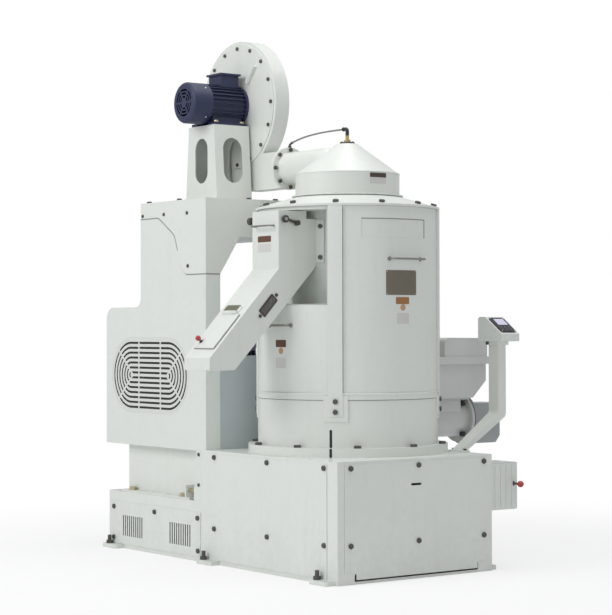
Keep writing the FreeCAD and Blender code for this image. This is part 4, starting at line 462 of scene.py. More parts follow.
def joinRings(mesh, rings):  # faces from each ring to the next; a ring of one point is a tip
    for lower, upper in zip(rings, rings[1:]):
        steps = max(len(lower), len(upper))
        for index in range(steps):
            after = (index + 1) % steps
            if len(lower) == 1:
                mesh.faces.new((lower[0], upper[index], upper[after]))
            elif len(upper) == 1:
                mesh.faces.new((lower[index], lower[after], upper[0]))
            else:
                mesh.faces.new((lower[index], lower[after], upper[after], upper[index]))


def joinClosed(mesh, rings):  # the same with a face over either end
    joinRings(mesh, rings)
    mesh.faces.new(rings[0])
    mesh.faces.new(rings[-1])


def lathe(mesh, profile, steps, place):  # profile is (radius, height) from bottom to top
    joinRings(mesh, [ring(mesh, place, [(radius, height)] * (steps if radius > 1e-6 else 1))
                     for radius, height in profile])


def hoop(mesh, profile, steps, place):  # a lathed ring with a closed section
    lathe(mesh, profile + profile[:1], steps, place)
    bmesh.ops.remove_doubles(mesh, verts=mesh.verts, dist=1e-6)


def alongRoute(route, index):
    return (route[min(index + 1, len(route) - 1)] - route[max(index - 1, 0)]).normalized()


def sweep(mesh, route, radius, steps):  # a closed tube along the route
    route = [Vector(spot) for spot in route]
    rings = []
    side = alongRoute(route, 0).orthogonal().normalized()
    for index, spot in enumerate(route):
        along = alongRoute(route, index)
        side = (side - along * side.dot(along)).normalized()
        other = along.cross(side)
        section = [(side * math.cos(turn) + other * math.sin(turn)) * radius for turn in turns(steps)]
        rings.append([mesh.verts.new(spot + reach) for reach in section])
    joinClosed(mesh, rings)


def rounded(corners, radius, steps=8):  # corners of a route eased into smooth turns
    corners = [Vector(corner) for corner in corners]
    route = [corners[0]]
    for before, corner, after in zip(corners, corners[1:], corners[2:]):
        back = (before - corner).normalized()
        ahead = (after - corner).normalized()
        longest = 0.48 * min((before - corner).length, (after - corner).length)
        cut = min(radius / math.tan(back.angle(ahead) / 2), longest)
        for step in range(steps + 1):
            share = step / steps
            start = (corner + back * cut).lerp(corner, share)
            end = corner.lerp(corner + ahead * cut, share)
            route.append(start.lerp(end, share))
    route.append(corners[-1])
    return route


def ringBead(mesh, place, radius, bead, steps=72):  # a weld bead round a circle, slightly uneven
    rings = []
    for turn in turns(steps):
        fat = bead * (1.0 + 0.14 * math.sin(turn * steps / 4.5))
        section = [(radius + fat * math.cos(lean), fat * math.sin(lean)) for lean in turns(8)]
        rings.append([mesh.verts.new(place @ polar(reach, turn, rise)) for reach, rise in section])
    joinRings(mesh, rings + rings[:1])


def hexHead(mesh, place, across, height, washer=False, steps=36):
    apothem = across / 2
    crown = apothem * 0.93  # radius where the chamfer meets the top
    folds = [(math.degrees(turn) + 30.0) % 60.0 - 30.0 for turn in turns(steps)]
    widths = [apothem / math.cos(math.radians(fold)) for fold in folds]
    levels = [[(wide, 0.0) for wide in widths], [(wide, height - (wide - crown) * 0.55) for wide in widths],
              [(crown, height)] * steps, [(apothem * 0.5, height)] * steps]
    rings = [ring(mesh, place, spots) for spots in levels]
    joinRings(mesh, rings)
    mesh.faces.new(rings[-1])
    if washer:
        wide = apothem * 1.32
        lathe(mesh, [(0, 0), (wide, 0), (wide, 0.0011), (wide - 0.0004, 0.0015), (0, 0.0015)], 28, place)


def softBox(mesh, size, edge, place, segments=2):
    made = bmesh.ops.create_cube(mesh, size=1.0)["verts"]
    for vert in made:
        vert.co = Vector(vert.co[axis] * size[axis] for axis in range(3))
    edges = list({e for vert in made for e in vert.link_edges})
    bevelled = bmesh.ops.bevel(mesh, geom=edges, offset=edge, segments=segments, profile=0.5, affect="EDGES")
    verts = {vert for face in bevelled["faces"] for vert in face.verts}
    for vert in verts | {vert for vert in made if vert.is_valid}:
        vert.co = place @ vert.co


def platePanel(mesh, width, height, corner, thick, bend, steps=18):
    cuts = [-width / 2 + width * index / steps for index in range(steps + 1)]
    for share in (0.12, 0.35, 0.65):  # more cuts where the corners are round
        cuts += [-width / 2 + corner * share, width / 2 - corner * share]
    columns = []
    for x in sorted(cuts):
        inside = max(0.0, abs(x) - (width / 2 - corner))
        half = height / 2 - corner + math.sqrt(max(corner ** 2 - inside ** 2, 0.0))
        section = ((-half, 0.0), (-half, thick), (half, thick), (half, 0.0))
        columns.append([mesh.verts.new(bend(x, y, out)) for y, out in section])
    joinClosed(mesh, columns)


def onTower(radius, angle, level):  # what turns a flat point into its place on the tower
    def bend(x, y, out):
        return polar(radius + out, math.radians(angle) + x / radius, level + y)
    return bend


def onFlat(place):
    def bend(x, y, out):
        return place @ Vector((x, y, out))
    return bend


# bolts: chamfered heads in place of the plain ones

boltNodes = {"panel_bolts": "panelBoltHeads", "tower_bolts": "towerBoltHeads"}
seatReach = 0.03  # how far off the metal under a head is looked for


def loosePieces(node):
    mesh = bmesh.new()
    mesh.from_mesh(node.data)
    bmesh.ops.remove_doubles(mesh, verts=mesh.verts, dist=1e-5)
    mesh.verts.index_update()
    mesh.faces.index_update()
    seen = set()
    pieces = []
    for first in mesh.verts:
        if first.index in seen:
            continue
        seen.add(first.index)
        found = [first]
        for vert in found:  # the list grows as its neighbours are met
            for edge in vert.link_edges:
                other = edge.other_vert(vert)
                if other.index not in seen:
                    seen.add(other.index)
                    found.append(other)
        faces = {face.index: face for vert in found for face in vert.link_faces}
        spots = [vert.co.copy() for vert in found]
        pieces.append((spots, [(face.normal.copy(), face.calc_area()) for face in faces.values()]))
    mesh.free()
    return pieces


def bodyTree():
    mesh = bmesh.new()
    for name, node in nodes.items():
        if name not in boltNodes:
            mesh.from_mesh(node.data)
    tree = BVHTree.FromBMesh(mesh)
    mesh.free()
    return tree


def metalAt(tree, spot, way):  # distance to the metal that way
    distance = tree.ray_cast(spot, way, seatReach)[3]
    return 1.0 if distance is None else distance


def headPlace(spots, normals, tree):
    axis = Vector((0, 0, 1))
    best = 0.0
    for normal, area in normals:  # the axis is the normal with the most area across it
        share = sum(a for n, a in normals if abs(n.dot(normal)) > 0.999)
        if share > best:
            best = share
            axis = normal
    centre = sum(spots, Vector()) / len(spots)
    along = [spot.dot(axis) for spot in spots]
    height = max(along) - min(along)
    offAxis = [(spot - centre) - axis * (spot - centre).dot(axis) for spot in spots]
    reach = max(way.length for way in offAxis)
    corner = max(offAxis, key=lambda way: way.length)
    if metalAt(tree, centre, axis) < metalAt(tree, centre, -axis):
        axis = -axis
    return aim(centre - axis * (height / 2), axis, corner), reach * math.sqrt(3), height


def dressBolts():
    tree = bodyTree()
    for name, piece in boltNodes.items():
        mesh = bmesh.new()
        found = loosePieces(nodes[name])
        for spots, normals in found:
            place, across, height = headPlace(spots, normals, tree)
            hexHead(mesh, place, across, height)
        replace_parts(addPiece(piece, mesh, "blackened", 28.0), name)
        print("rice mill:", len(found), "heads in", piece)


dressBolts()


# bare plates and dark strips, some of them painted shadow; plates with rivets have four

tower = {"skin": 0.35, "recess": 0.3487, "collar": 0.203, "footRing": 0.388}
chuteOut = (0, -0.732, 0.6813)  # square to the chute's slope
chuteDown = (0, -0.6813, -0.732)
plateShape = {"thick": 0.0008, "corner": 0.003, "cornerShare": 0.3, "rivetInset": 0.005,
              "rivet": [(0.0019, 0.0), (0.0017, 0.0006), (0.001, 0.0011), (0, 0.0013)]}
doorPlates = {
    "doorPlate": {"on": "skin", "angle": -1.7, "level": 1.0915, "size": (0.142, 0.093),
                  "finish": "plateOlive", "rivets": True},
    "doorTag": {"on": "skin", "angle": -1.4, "level": 1.024, "size": (0.062, 0.026), "finish": "plateOrange"},
    "doorDot": {"on": "skin", "angle": -1.2, "level": 0.9985, "size": (0.024, 0.024), "corner": 0.0119,
                "finish": "plateAmber"},
    # the two rim strips are painted shadow lines along the top and right edges of the door's recess
    "doorRimTop": {"on": "recess", "angle": -5.0, "level": 1.3305, "size": (0.292, 0.0032),
                   "finish": "seamShade"},
    "doorRimSide": {"on": "recess", "angle": 18.7, "level": 1.296, "size": (0.0032, 0.07),
                    "finish": "seamShade"},
    "doorNote": {"on": "skin", "angle": -1.0, "level": 0.957, "size": (0.056, 0.04), "finish": "platePale"},
}
framePlates = {
    "coverTag": {"on": "skin", "angle": -83.8, "level": 0.8635, "size": (0.057, 0.027),
                 "finish": "plateBrown"},
    "coverDot": {"on": "skin", "angle": -83.6, "level": 0.836, "size": (0.024, 0.024), "corner": 0.0119,
                 "finish": "plateAmber"},
    "coverNote": {"on": "skin", "angle": -83.8, "level": 0.79, "size": (0.056, 0.038), "finish": "platePale"},
    # the two slits are dark strips on the skin: painted shade that carries the slot's dark gap down to the
    # base
    "shellSlit": {"on": "skin", "angle": -48.0, "level": 0.5095, "size": (0.0095, 0.0665), "finish": "gauze"},
    "footSlit": {"on": "footRing", "angle": -47.0, "level": 0.4588, "size": (0.0095, 0.0325),
                 "finish": "gauze"},
    "collarTag": {"on": "collar", "angle": -1.6, "level": 1.505, "size": (0.077, 0.017),
                  "finish": "plateDark"},
    "collarNote": {"on": "collar", "angle": -1.6, "level": 1.484, "size": (0.077, 0.022),
                   "finish": "platePale"},
    "chuteTag": {"spot": (-0.0064, -0.391, 1.2585), "faces": (0, -1, 0), "size": (0.086, 0.023),
                 "finish": "plateBrown"},
    "chuteNote": {"spot": (-0.0064, -0.391, 1.2245), "faces": (0, -1, 0), "size": (0.086, 0.03),
                  "finish": "platePale"},
    "slopeTag": {"spot": (-0.017, -0.5304, 0.9944), "faces": chuteOut, "size": (0.088, 0.03), "thick": 0.004,
                 "finish": "plateGreen", "rivets": True},
}


def platePieces(body, plates):
    for name, plate in plates.items():
        if "on" in plate:
            bend = onTower(tower[plate["on"]], plate["angle"], plate["level"])
        else:
            bend = onFlat(aim(plate["spot"], plate["faces"]))
        width, height = plate["size"]
        widest = min(plateShape["corner"], min(width, height) * plateShape["cornerShare"])
        thick = plate.get("thick", plateShape["thick"])
        mesh = bmesh.new()
        platePanel(mesh, width, height, plate.get("corner", widest), thick, bend)
        addPiece(name, mesh, plate["finish"], body=body)
        if "rivets" in plate:
            rivets = bmesh.new()
            for x, y in fourSpots(*(side / 2 - plateShape["rivetInset"] for side in plate["size"])):
                spot = bend(x, y, thick)
                lathe(rivets, plateShape["rivet"], 14, aim(spot, bend(x, y, 1.0) - spot))
            addPiece(name + "Rivets", rivets, "bright", body=body)


platePieces("side_door", doorPlates)
platePieces("machine_frame", framePlates)
print("rice mill: plates done")


# gauze behind the grille, and painted shade lines under the lips of the plates by the fan platform

gauze = {"x": -0.812, "z": 0.728, "half": 0.146, "radius": 0.1525, "front": -0.4046, "thick": 0.0008,
         "steps": 24}
shadeLineShape = {"wide": 0.0042, "thick": 0.0003}
shadeLines = {
    "platformShadeLine": {"corners": [(-0.8795, 1.3722), (-0.74, 1.3722), (-0.619, 1.2975), (-0.596, 1.235)],
                     "ease": 0.06, "plane": "front", "at": -0.4062},
    "platformShadeLineFoot": {"corners": [(-0.533, 1.1362), (-0.3885, 1.1362)], "plane": "front", "at": -0.4062},
    "platformShadeLineSide": {"corners": [(-0.406, 1.1362), (-0.339, 1.1362)], "plane": "side", "at": -0.3878},
}


def grilleGauze():
    mesh = bmesh.new()
    outline = []
    for side, start in ((1, -90.0), (-1, 90.0)):
        for step in range(gauze["steps"] + 1):
            turn = math.radians(start + step * 180.0 / gauze["steps"])
            outline.append((gauze["x"] + side * gauze["half"] + gauze["radius"] * math.cos(turn),
                            gauze["z"] + gauze["radius"] * math.sin(turn)))
    faces = (gauze["front"], gauze["front"] + gauze["thick"])
    joinClosed(mesh, [[mesh.verts.new((x, y, z)) for x, z in outline] for y in faces])
    addPiece("grilleGauze", mesh, "gauze")


def shadeLinePieces():
    half = shadeLineShape["wide"] / 2
    thick = shadeLineShape["thick"]
    for name, line in shadeLines.items():
        mesh = bmesh.new()
        flat = [Vector((x, 0.0, z)) for x, z in line["corners"]]
        route = rounded(flat, line["ease"], 10) if "ease" in line else flat
        rows = []
        for index, spot in enumerate(route):
            along = alongRoute(route, index)
            across = Vector((-along.z, 0.0, along.x)) * half
            row = []
            for edge, lift in ((-1, 0.0), (-1, thick), (1, thick), (1, 0.0)):
                x, _, z = spot + across * edge
                front = line["plane"] == "front"
                row.append(mesh.verts.new((x, line["at"] - lift, z) if front else (line["at"] + lift, x, z)))
            rows.append(row)
        joinClosed(mesh, rows)
        addPiece(name, mesh, "seamShade")


grilleGauze()
shadeLinePieces()


# painted shadow strips under the edges of the sample lid, and the blank behind the pedestal's slot

lidShadow = {"half": (0.062, 0.0685), "down": (0.238, 0.404, 0.4105), "thick": 0.0005, "top": (-0.39, 1.145)}
blank = {"axis": -0.64, "foot": 0.116, "head": 0.094, "low": 1.438, "high": 1.75, "middle": 1.606,
         "depth": -0.1765, "size": (0.11, 0.204), "corner": 0.012, "wall": 0.0055, "thick": 0.0016,
         "screwInset": (0.006, 0.012),
         "screw": [(0.0036, -0.0004), (0.0036, 0.0012), (0.0026, 0.002), (0, 0.0022)]}


def lidShadowStrip():
    mesh = bmesh.new()
    out = Vector(chuteOut)
    near, far = lidShadow["half"]
    start, end, foot = lidShadow["down"]
    strips = [(side * (near + far) / 2, (start + foot) / 2, far - near, foot - start) for side in (-1, 1)]
    strips.append((0.0, (end + foot) / 2, near * 2, foot - end))
    for x, down, wide, long in strips:
        spot = Vector((x, *lidShadow["top"])) + Vector(chuteDown) * down + out * (lidShadow["thick"] / 2)
        softBox(mesh, (wide, long, lidShadow["thick"]), lidShadow["thick"] * 0.3, aim(spot, out), 1)
    addPiece("lidShadowStrip", mesh, "belt")


# the blank is painted in the darker inner enamel: painted shade for the inside of the pedestal seen through
# its slot
def pedestalBlank():
    tall = blank["high"] - blank["low"]
    lean = (blank["foot"] - blank["head"]) / tall
    half = blank["foot"] - lean * (blank["middle"] - blank["low"]) - blank["wall"]
    out = (1, 0, -lean)
    place = aim((blank["axis"] - half, blank["depth"], blank["middle"]), out)
    width, height = blank["size"]
    across, up = blank["screwInset"]
    mesh = bmesh.new()
    platePanel(mesh, width, height, blank["corner"], blank["thick"], onFlat(place))
    for x, y in fourSpots(width / 2 - across, height / 2 - up):
        lathe(mesh, blank["screw"], 16, aim(place @ Vector((x, y, blank["thick"])), out))
    addPiece("pedestalBlank", mesh, "inner")


lidShadowStrip()
pedestalBlank()


# weld beads round the hood

beads = {
    "coneBead": {"spot": (0, 0, 1.519), "aims": (0, 0, 1), "radius": 0.203, "bead": 0.0018},
    "collarBead": {"spot": (0, 0, 1.4355), "aims": (0, 0, 1), "radius": 0.2035, "bead": 0.0022},
    "pipeBead": {"spot": (-0.318, -0.045, 1.5635), "aims": (1, 0, 0), "radius": 0.064, "bead": 0.0018},
}


def weldBeads():
    for name, bead in beads.items():
        mesh = bmesh.new()
        ringBead(mesh, aim(bead["spot"], bead["aims"]), bead["radius"], bead["bead"])
        addPiece(name, mesh, "enamel", 80.0)


weldBeads()


# rolled edge and shade line of the tower's rim

rim = {"rolledEdge": {"finish": "enamel", "section": [(0.352, 0.6725), (0.3545, 0.673), (0.3557, 0.6748),
                                                      (0.3557, 0.677), (0.3546, 0.679), (0.352, 0.6797)]},
       "rimShade": {"finish": "seamShade", "section": [(0.3496, 0.6512), (0.3504, 0.6512), (0.3504, 0.6538),
                                                       (0.3496, 0.6538)]}}


def rimRings():
    for name, edge in rim.items():
        mesh = bmesh.new()
        hoop(mesh, edge["section"], 180, Matrix.Identity(4))
        addPiece(name, mesh, edge["finish"], 60.0)


rimRings()
print("rice mill: seams, seal, beads and rim done")


# top fitting and nipple of the spindle air line

fitting = {"apex": 1.639, "flange": 0.029, "flangeThick": 0.008, "flangeEdge": 0.0014, "screwRing": 0.0215,
           "screw": [(0.0034, 0), (0.0034, 0.002), (0.0026, 0.0028), (0, 0.0029)], "nutAcross": 0.024,
           "nutHigh": 0.009, "stem": 0.0065, "thread": 0.0006, "threads": 9, "elbowFoot": 1.673,
           "elbow": 0.0072, "elbowTop": 1.699, "elbowBend": 0.014, "elbowNut": (0.0135, 0.007), "reach": 0.026,
           "socket": [(0, 0), (0.0082, 0), (0.0084, 0.001), (0.0084, 0.004), (0.0078, 0.005), (0, 0.005)]}
nipple = {"foot": (-0.322, -0.045, 1.6475), "turn": (-0.322, -0.045, 1.6605), "tip": (-0.306, -0.043, 1.6675),
          "stem": 0.0042, "bend": 0.006, "nut": (0.0135, 0.008), "socketLong": 0.004,
          "socket": [(0, 0), (0.0052, 0), (0.0054, 0.0008), (0.0054, 0.004), (0, 0.004)]}


def fittingFlange():
    mesh = bmesh.new()
    apex = Matrix.Translation((0, 0, fitting["apex"]))
    wide = fitting["flange"]
    thick = fitting["flangeThick"]
    edge = fitting["flangeEdge"]
    lathe(mesh, [(0, 0), (wide, 0), (wide, thick - edge), (wide - edge, thick), (0, thick)], 48, apex)
    for turn in turns(4, math.pi / 4):
        lathe(mesh, fitting["screw"], 18, apex @ Matrix.Translation(polar(fitting["screwRing"], turn, thick)))
    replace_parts(addPiece("fittingFlange", mesh, "blackened"), "air_line_fittings")


def fittingStem():
    mesh = bmesh.new()
    foot = fitting["apex"] + fitting["flangeThick"]
    place = Matrix.Translation((0, 0, foot))
    hexHead(mesh, place, fitting["nutAcross"], fitting["nutHigh"])
    low = fitting["nutHigh"]
    high = fitting["elbowFoot"] - foot + 0.001
    pitch = (high - low) / fitting["threads"]
    profile = [(0, low - 0.001)]
    for index in range(fitting["threads"]):
        level = low + pitch * index
        profile += [(fitting["stem"], level), (fitting["stem"] + fitting["thread"], level + pitch / 2)]
    profile += [(fitting["stem"], high), (0, high)]
    lathe(mesh, profile, 32, place)
    addPiece("fittingStem", mesh, "brass")


def fittingElbow():
    mesh = bmesh.new()
    bottom = fitting["elbowFoot"]
    top = fitting["elbowTop"]
    reach = fitting["reach"]
    corners = [(0, 0, bottom + 0.002), (0, 0, top), (0.001 - reach, 0, top)]
    sweep(mesh, rounded(corners, fitting["elbowBend"], 10), fitting["elbow"], 24)
    hexHead(mesh, Matrix.Translation((0, 0, bottom)), *fitting["elbowNut"])
    lathe(mesh, fitting["socket"], 28, aim((0.005 - reach, 0, top), (-1, 0, 0)))
    addPiece("fittingElbow", mesh, "black")


def hoseNipple():
    mesh = bmesh.new()
    hexHead(mesh, Matrix.Translation(nipple["foot"]), *nipple["nut"])
    corners = [nipple["foot"], nipple["turn"], nipple["tip"]]
    sweep(mesh, rounded(corners, nipple["bend"], 8), nipple["stem"], 20)
    tip = Vector(nipple["tip"])
    way = (tip - Vector(nipple["turn"])).normalized()
    lathe(mesh, nipple["socket"], 20, aim(tip - way * nipple["socketLong"], way))
    addPiece("fittingNipple", mesh, "blackened")


fittingFlange()
fittingStem()
fittingElbow()
hoseNipple()
print("rice mill: fittings done")


# control head: bezel, display, keys and corner screws

panel = {"centre": (0.31501, 0.522, 0.9305), "faces": (0.5723, 0, 0.82), "size": (0.077, 0.0969),
         "thick": 0.004, "corner": 0.009, "step": 0.0006, "ledge": 0.002,
         "display": {"at": (0.004, 0.0185), "size": (0.05, 0.04), "corner": 0.002, "proud": 0.0005},
         "keys": {"columns": (-0.022, -0.002, 0.018), "rows": (-0.019, -0.033),
                  "size": (0.0125, 0.0085, 0.0026), "edge": 0.0007, "sunk": 0.0002},
         "screwInset": 0.0055, "screw": [(0.0022, 0), (0.0022, 0.0006), (0.0014, 0.0012), (0, 0.0014)]}


def steppedPlate(mesh, plate, place):  # a plate with a second, smaller one on it
    width, height = plate["size"]
    ledge = plate["ledge"] * 2
    platePanel(mesh, width, height, plate["corner"], plate["thick"] - plate["step"], onFlat(place))
    platePanel(mesh, width - ledge, height - ledge, plate["corner"] - 0.001, plate["thick"], onFlat(place))


def controlBezel(place):
    mesh = bmesh.new()
    steppedPlate(mesh, panel, place)
    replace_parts(addPiece("controlBezel", mesh, "bezel"), "control_screen")


def controlDisplay(place):
    mesh = bmesh.new()
    display = panel["display"]
    middle = place @ Matrix.Translation((*display["at"], 0))
    platePanel(mesh, *display["size"], display["corner"], panel["thick"] + display["proud"], onFlat(middle))
    addPiece("controlDisplay", mesh, "screen")


def controlKeys(place):
    mesh = bmesh.new()
    keys = panel["keys"]
    for x in keys["columns"]:
        for y in keys["rows"]:
            spot = Matrix.Translation((x, y, panel["thick"] - keys["sunk"]))
            softBox(mesh, keys["size"], keys["edge"], place @ spot)
    addPiece("controlKeys", mesh, "key")


def controlScrews(place):
    mesh = bmesh.new()
    for x, y in fourSpots(*(side / 2 - panel["screwInset"] for side in panel["size"])):
        lathe(mesh, panel["screw"], 14, place @ Matrix.Translation((x, y, panel["thick"])))
    addPiece("controlScrews", mesh, "bright")


for makePiece in (controlBezel, controlDisplay, controlKeys, controlScrews):
    makePiece(aim(panel["centre"], panel["faces"]))


# sight glass: dark pane in its frame on the chute's cheek

sight = {"centre": (0.086, -0.44, 1.006), "size": (0.088, 0.037), "corner": 0.004, "thick": 0.0036,
         "step": 0.0008, "ledge": 0.0015, "pane": (0.076, 0.025), "paneCorner": 0.003, "paneProud": 0.0004}


def sightPieces():
    place = aim(sight["centre"], (1, 0, 0), -Vector(chuteOut))
    surround = bmesh.new()
    steppedPlate(surround, sight, place)
    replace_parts(addPiece("sightFrame", surround, "plateDark"), "sight_glass")
    glass = bmesh.new()
    platePanel(glass, *sight["pane"], sight["paneCorner"], sight["thick"] + sight["paneProud"], onFlat(place))
    addPiece("sightPane", glass, "pane")


sightPieces()
print("rice mill: control head and sight glass done")


# feeder: rubber ring, and lobed clamp knobs on their studs

feeder = {"level": 0.555, "ring": (0.571, 0.574), "outer": 0.0988, "inner": 0.066, "studCircle": 0.088,
          "stud": 0.004, "studSpan": (0.5415, 0.559), "gripSpan": (0.525, 0.5445), "grip": 0.0115, "lobes": 5,
          "lobeDepth": 0.22, "gripSection": ((0.84, 0.0), (1.0, 0.14), (1.0, 0.80), (0.86, 1.0), (0.40, 0.96))}


def lobedGrip(mesh, place, length):
    rings = []
    steps = turns(feeder["lobes"] * 10)
    for share, rise in feeder["gripSection"]:  # shares of the radius and of the length
        waists = [1.0 - feeder["lobeDepth"] * (0.5 - 0.5 * math.cos(turn * feeder["lobes"])) for turn in steps]
        rings.append(ring(mesh, place, [(feeder["grip"] * share * waist, rise * length) for waist in waists]))
    joinClosed(mesh, rings)


def feederRing():
    mesh = bmesh.new()
    low, high = feeder["ring"]
    near = feeder["inner"]
    far = feeder["outer"]
    section = [(near, 0), (far, 0), (far, high - low), (near, high - low)]
    hoop(mesh, section, 96, aim((0, low, feeder["level"]), (0, 1, 0)))
    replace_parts(addPiece("feederRing", mesh, "black"), "feed_clamps")


def feederClamps():
    grips = bmesh.new()
    studs = bmesh.new()
    for turn in turns(4, math.pi / 4):
        x = feeder["studCircle"] * math.cos(turn)
        z = feeder["level"] + feeder["studCircle"] * math.sin(turn)
        start, end = feeder["gripSpan"]
        lobedGrip(grips, aim((x, end, z), (0, -1, 0)), end - start)
        start, end = feeder["studSpan"]
        profile = [(0, 0), (feeder["stud"], 0), (feeder["stud"], end - start), (0, end - start)]
        lathe(studs, profile, 16, aim((x, start, z), (0, 1, 0)))
    addPiece("feederGrips", grips, "black", 50.0)
    addPiece("feederStuds", studs, "zinc")


feederRing()
feederClamps()


# small screws of the blower motor

blower = {"x": -0.64, "axis": 1.84, "cowl": 0.0836, "cowlScrews": -0.279,
          "feet": {"top": 1.762, "reach": 0.073, "spots": (-0.238, -0.112), "head": (0.016, 0.0075)},
          "lid": {"top": 1.968, "reach": 0.048, "spots": (-0.196, -0.108)},
          "lidScrew": [(0.0042, 0), (0.0042, 0.0014), (0.003, 0.0026), (0, 0.003)],
          "cowlScrew": [(0.004, 0), (0.004, 0.0014), (0.0028, 0.0024), (0, 0.0028)]}


def blowerPlaces(row):
    return [Matrix.Translation((blower["x"] + side * row["reach"], y, row["top"]))
            for side in (-1, 1) for y in row["spots"]]


def blowerScrews():
    feet = bmesh.new()
    for place in blowerPlaces(blower["feet"]):
        hexHead(feet, place, *blower["feet"]["head"], washer=True)
    addPiece("blowerFootBolts", feet, "zinc")
    screws = bmesh.new()
    for place in blowerPlaces(blower["lid"]):
        lathe(screws, blower["lidScrew"], 16, place)
    for turn in turns(4, math.pi / 4):
        way = Vector((math.cos(turn), 0, math.sin(turn)))
        spot = Vector((blower["x"], blower["cowlScrews"], blower["axis"])) + way * blower["cowl"]
        lathe(screws, blower["cowlScrew"], 16, aim(spot, way))
    addPiece("blowerScrews", screws, "bright")


blowerScrews()


# collars where the door handles meet the skin

handleEnds = {"rightDoor": {"body": "side_door", "level": 1.181, "angles": (-11.0, 14.0)},
              "frontDoor": {"body": "machine_frame", "level": 0.932, "angles": (-95.0, -75.0)}}
collar = {"sunk": 0.0006,
          "profile": [(0.0085, 0), (0.0085, 0.002), (0.007, 0.0034), (0.0046, 0.004), (0, 0.004)]}


def handleCollars():
    for name, ends in handleEnds.items():
        mesh = bmesh.new()
        for angle in ends["angles"]:
            turn = math.radians(angle)
            spot = polar(tower["skin"] - collar["sunk"], turn, ends["level"])
            lathe(mesh, collar["profile"], 24, aim(spot, polar(1.0, turn)))
        addPiece(name + "Collars", mesh, "handle", body=ends["body"])


handleCollars()
print("rice mill: feeder, screws and collars done")


# red knobs on their black shanks

knobs = {
    "lidKnob": {"node": "lid_knob", "body": "sample_lid", "foot": (-0.045, -0.6514, 0.8724), "aims": chuteOut,
                "shank": 0.0042, "stem": 0.01, "ball": 0.0105},
    "residueKnob": {"node": "residue_knob", "body": "residue_flap", "foot": (0.4494, 0.455, 0.323),
                    "aims": (1, 0, 0), "shank": 0.0045, "stem": 0.031, "ball": 0.0125},
}
ball = {"start": -56.0, "span": 146.0, "steps": 16, "middle": 0.82, "seamStep": 7, "seam": 0.00012,
        "neck": ((0.50, -0.0006), (0.56, 0.0))}


def knobShank(name, knob, place):
    mesh = bmesh.new()
    r = knob["shank"]
    stem = knob["stem"]
    foot = [(0, 0), (r * 1.9, 0), (r * 1.9, r * 0.5), (r * 1.1, r * 0.8), (r, r * 1.1)]
    profile = foot + [(r, stem), (0, stem + 0.001)]
    lathe(mesh, profile, 24, place)
    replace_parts(addPiece(name + "Shank", mesh, "blackened", body=knob["body"]), knob["node"])


def knobBall(name, knob, place):
    mesh = bmesh.new()
    r = knob["ball"]
    middle = knob["stem"] + r * ball["middle"]
    neck = [(r * share, knob["stem"] + rise) for share, rise in ball["neck"]]
    profile = [(0, neck[0][1])] + neck
    for index in range(1, ball["steps"]):
        turn = math.radians(ball["start"] + index * ball["span"] / ball["steps"])
        seam = ball["seam"] if index == ball["seamStep"] else 0.0
        profile.append((r * math.cos(turn) + seam, middle + r * math.sin(turn)))
    profile.append((0, middle + r))
    lathe(mesh, profile, 32, place)
    addPiece(name + "Ball", mesh, "red", 60.0, knob["body"])


for knobName, sizes in knobs.items():
    for makePiece in (knobShank, knobBall):
        makePiece(knobName, sizes, aim(sizes["foot"], sizes["aims"]))
print("rice mill: knobs done")


# hose of the spindle air line

hose = {"route": [(-0.026, 0.0, 1.699), (-0.062, 0.0, 1.699), (-0.104, -0.006, 1.6984),
                  (-0.147, -0.0135, 1.696), (-0.19, -0.0215, 1.692), (-0.232, -0.03, 1.686),
                  (-0.271, -0.038, 1.6775), (-0.306, -0.043, 1.6675)],
        "radius": 0.0035, "length": 0.2867}


def hosePiece():
    data = bpy.data.curves.new("airHose", "CURVE")
    data.dimensions = "3D"
    data.bevel_depth = hose["radius"]
    data.bevel_resolution = 6
    data.use_fill_caps = True
    spline = data.splines.new("NURBS")
    spline.points.add(len(hose["route"]) - 1)
    for point, spot in zip(spline.points, hose["route"]):
        point.co = (*spot, 1.0)
    spline.order_u = 3
    spline.use_endpoint_u = True
    spline.resolution_u = 10
    data.materials.append(finishes["hose"])
    obj = bpy.data.objects.new("airHose", data)
    scene.collection.objects.link(obj)
    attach(obj, "machine_frame")
    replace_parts(obj, "air_line")


hosePiece()
print("rice mill: hose done")


# light, world and floor

lights = {
    "key": {"spot": (-1.2, -5.8, 4.2), "at": (-0.2, 0, 0.9), "size": 3.4, "power": 180.0},
    "fill": {"spot": (6.5, -2.0, 3.0), "at": (0, 0, 0.9), "size": 3.5, "power": 30.0},
    "top": {"spot": (0.5, 0.3, 5.5), "at": (0, 0, 1.0), "size": 3.5, "power": 118.0},
}
worldLight = {"soft": {"Color": rgb(0.95, 0.97, 1.0), "Strength": 0.38}, "mirrored": 0.35}
floor = {"half": 14.0, "drop": 0.0005, "tint": rgb(0.90, 0.90, 0.90), "roughness": 0.9,
         "glow": 0.70, "inner": 1.0, "outer": 3.2}  # glow near the object, full white past outer


def placeLights():
    for name, lamp in lights.items():
        data = bpy.data.lights.new(name, "AREA")
        data.shape = "SQUARE"
        data.size = lamp["size"]
        data.energy = lamp["power"]
        obj = bpy.data.objects.new(name, data)
        obj.matrix_world = aim(lamp["spot"], Vector(lamp["spot"]) - Vector(lamp["at"]))
        scene.collection.objects.link(obj)


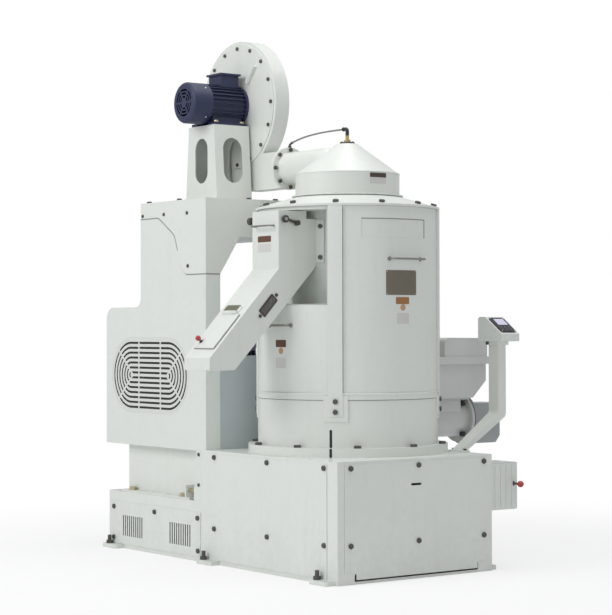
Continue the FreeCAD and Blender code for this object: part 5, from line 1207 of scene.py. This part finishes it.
def placeWorld():  # white to the camera, softer in reflections, plain light otherwise
    world = bpy.data.worlds.new("studio")
    scene.world = world
    world.use_nodes = True
    world.node_tree.nodes.clear()
    sky = NodeSet(world.node_tree)
    cameraRay, glossyRay, glassRay = [sky.node("ShaderNodeLightPath", {}, {}, "Is " + kind + " Ray")
                                      for kind in ("Camera", "Glossy", "Transmission")]
    mirrored = (glossyRay + glassRay) * worldLight["mirrored"]
    seen = sky.node("ShaderNodeMath", {"operation": "ADD", "use_clamp": True}, {0: cameraRay, 1: mirrored})
    soft = sky.node("ShaderNodeBackground", {}, worldLight["soft"])
    white = sky.node("ShaderNodeBackground", {}, {"Color": rgb(1, 1, 1), "Strength": 1.0})
    both = sky.node("ShaderNodeMixShader", {}, {0: seen, 1: soft, 2: white})
    sky.feed(world.node_tree.nodes.new("ShaderNodeOutputWorld").inputs[0], both)


def floorPaint():
    f = Finish("paleFloor")
    f.surface({"Base Color": floor["tint"], "Roughness": floor["roughness"]})
    glow = f.node("ShaderNodeEmission", {}, {"Color": rgb(1, 1, 1), "Strength": 1.0})
    cameraRay = f.node("ShaderNodeLightPath", {}, {}, "Is Camera Ray")
    reach = f.node("ShaderNodeVectorMath", {"operation": "LENGTH"}, {0: f.place}, "Value")
    far = f.rises(reach, floor["inner"], floor["outer"])
    share = cameraRay * (floor["glow"] + far * (1.0 - floor["glow"]))
    both = f.node("ShaderNodeMixShader", {}, {0: share, 1: Signal(f, f.shader.outputs[0]), 2: glow})
    f.feed(f.tree.nodes["Material Output"].inputs[0], both)
    return f.material


def placeFloor():
    mesh = bmesh.new()
    bmesh.ops.create_grid(mesh, x_segments=1, y_segments=1, size=floor["half"])
    data = bpy.data.meshes.new("studioFloor")
    mesh.to_mesh(data)
    mesh.free()
    data.materials.append(floorPaint())
    obj = bpy.data.objects.new("studioFloor", data)
    obj.location = (0, 0, -floor["drop"])
    scene.collection.objects.link(obj)


placeLights()
placeWorld()
placeFloor()
print("rice mill: light and floor done")
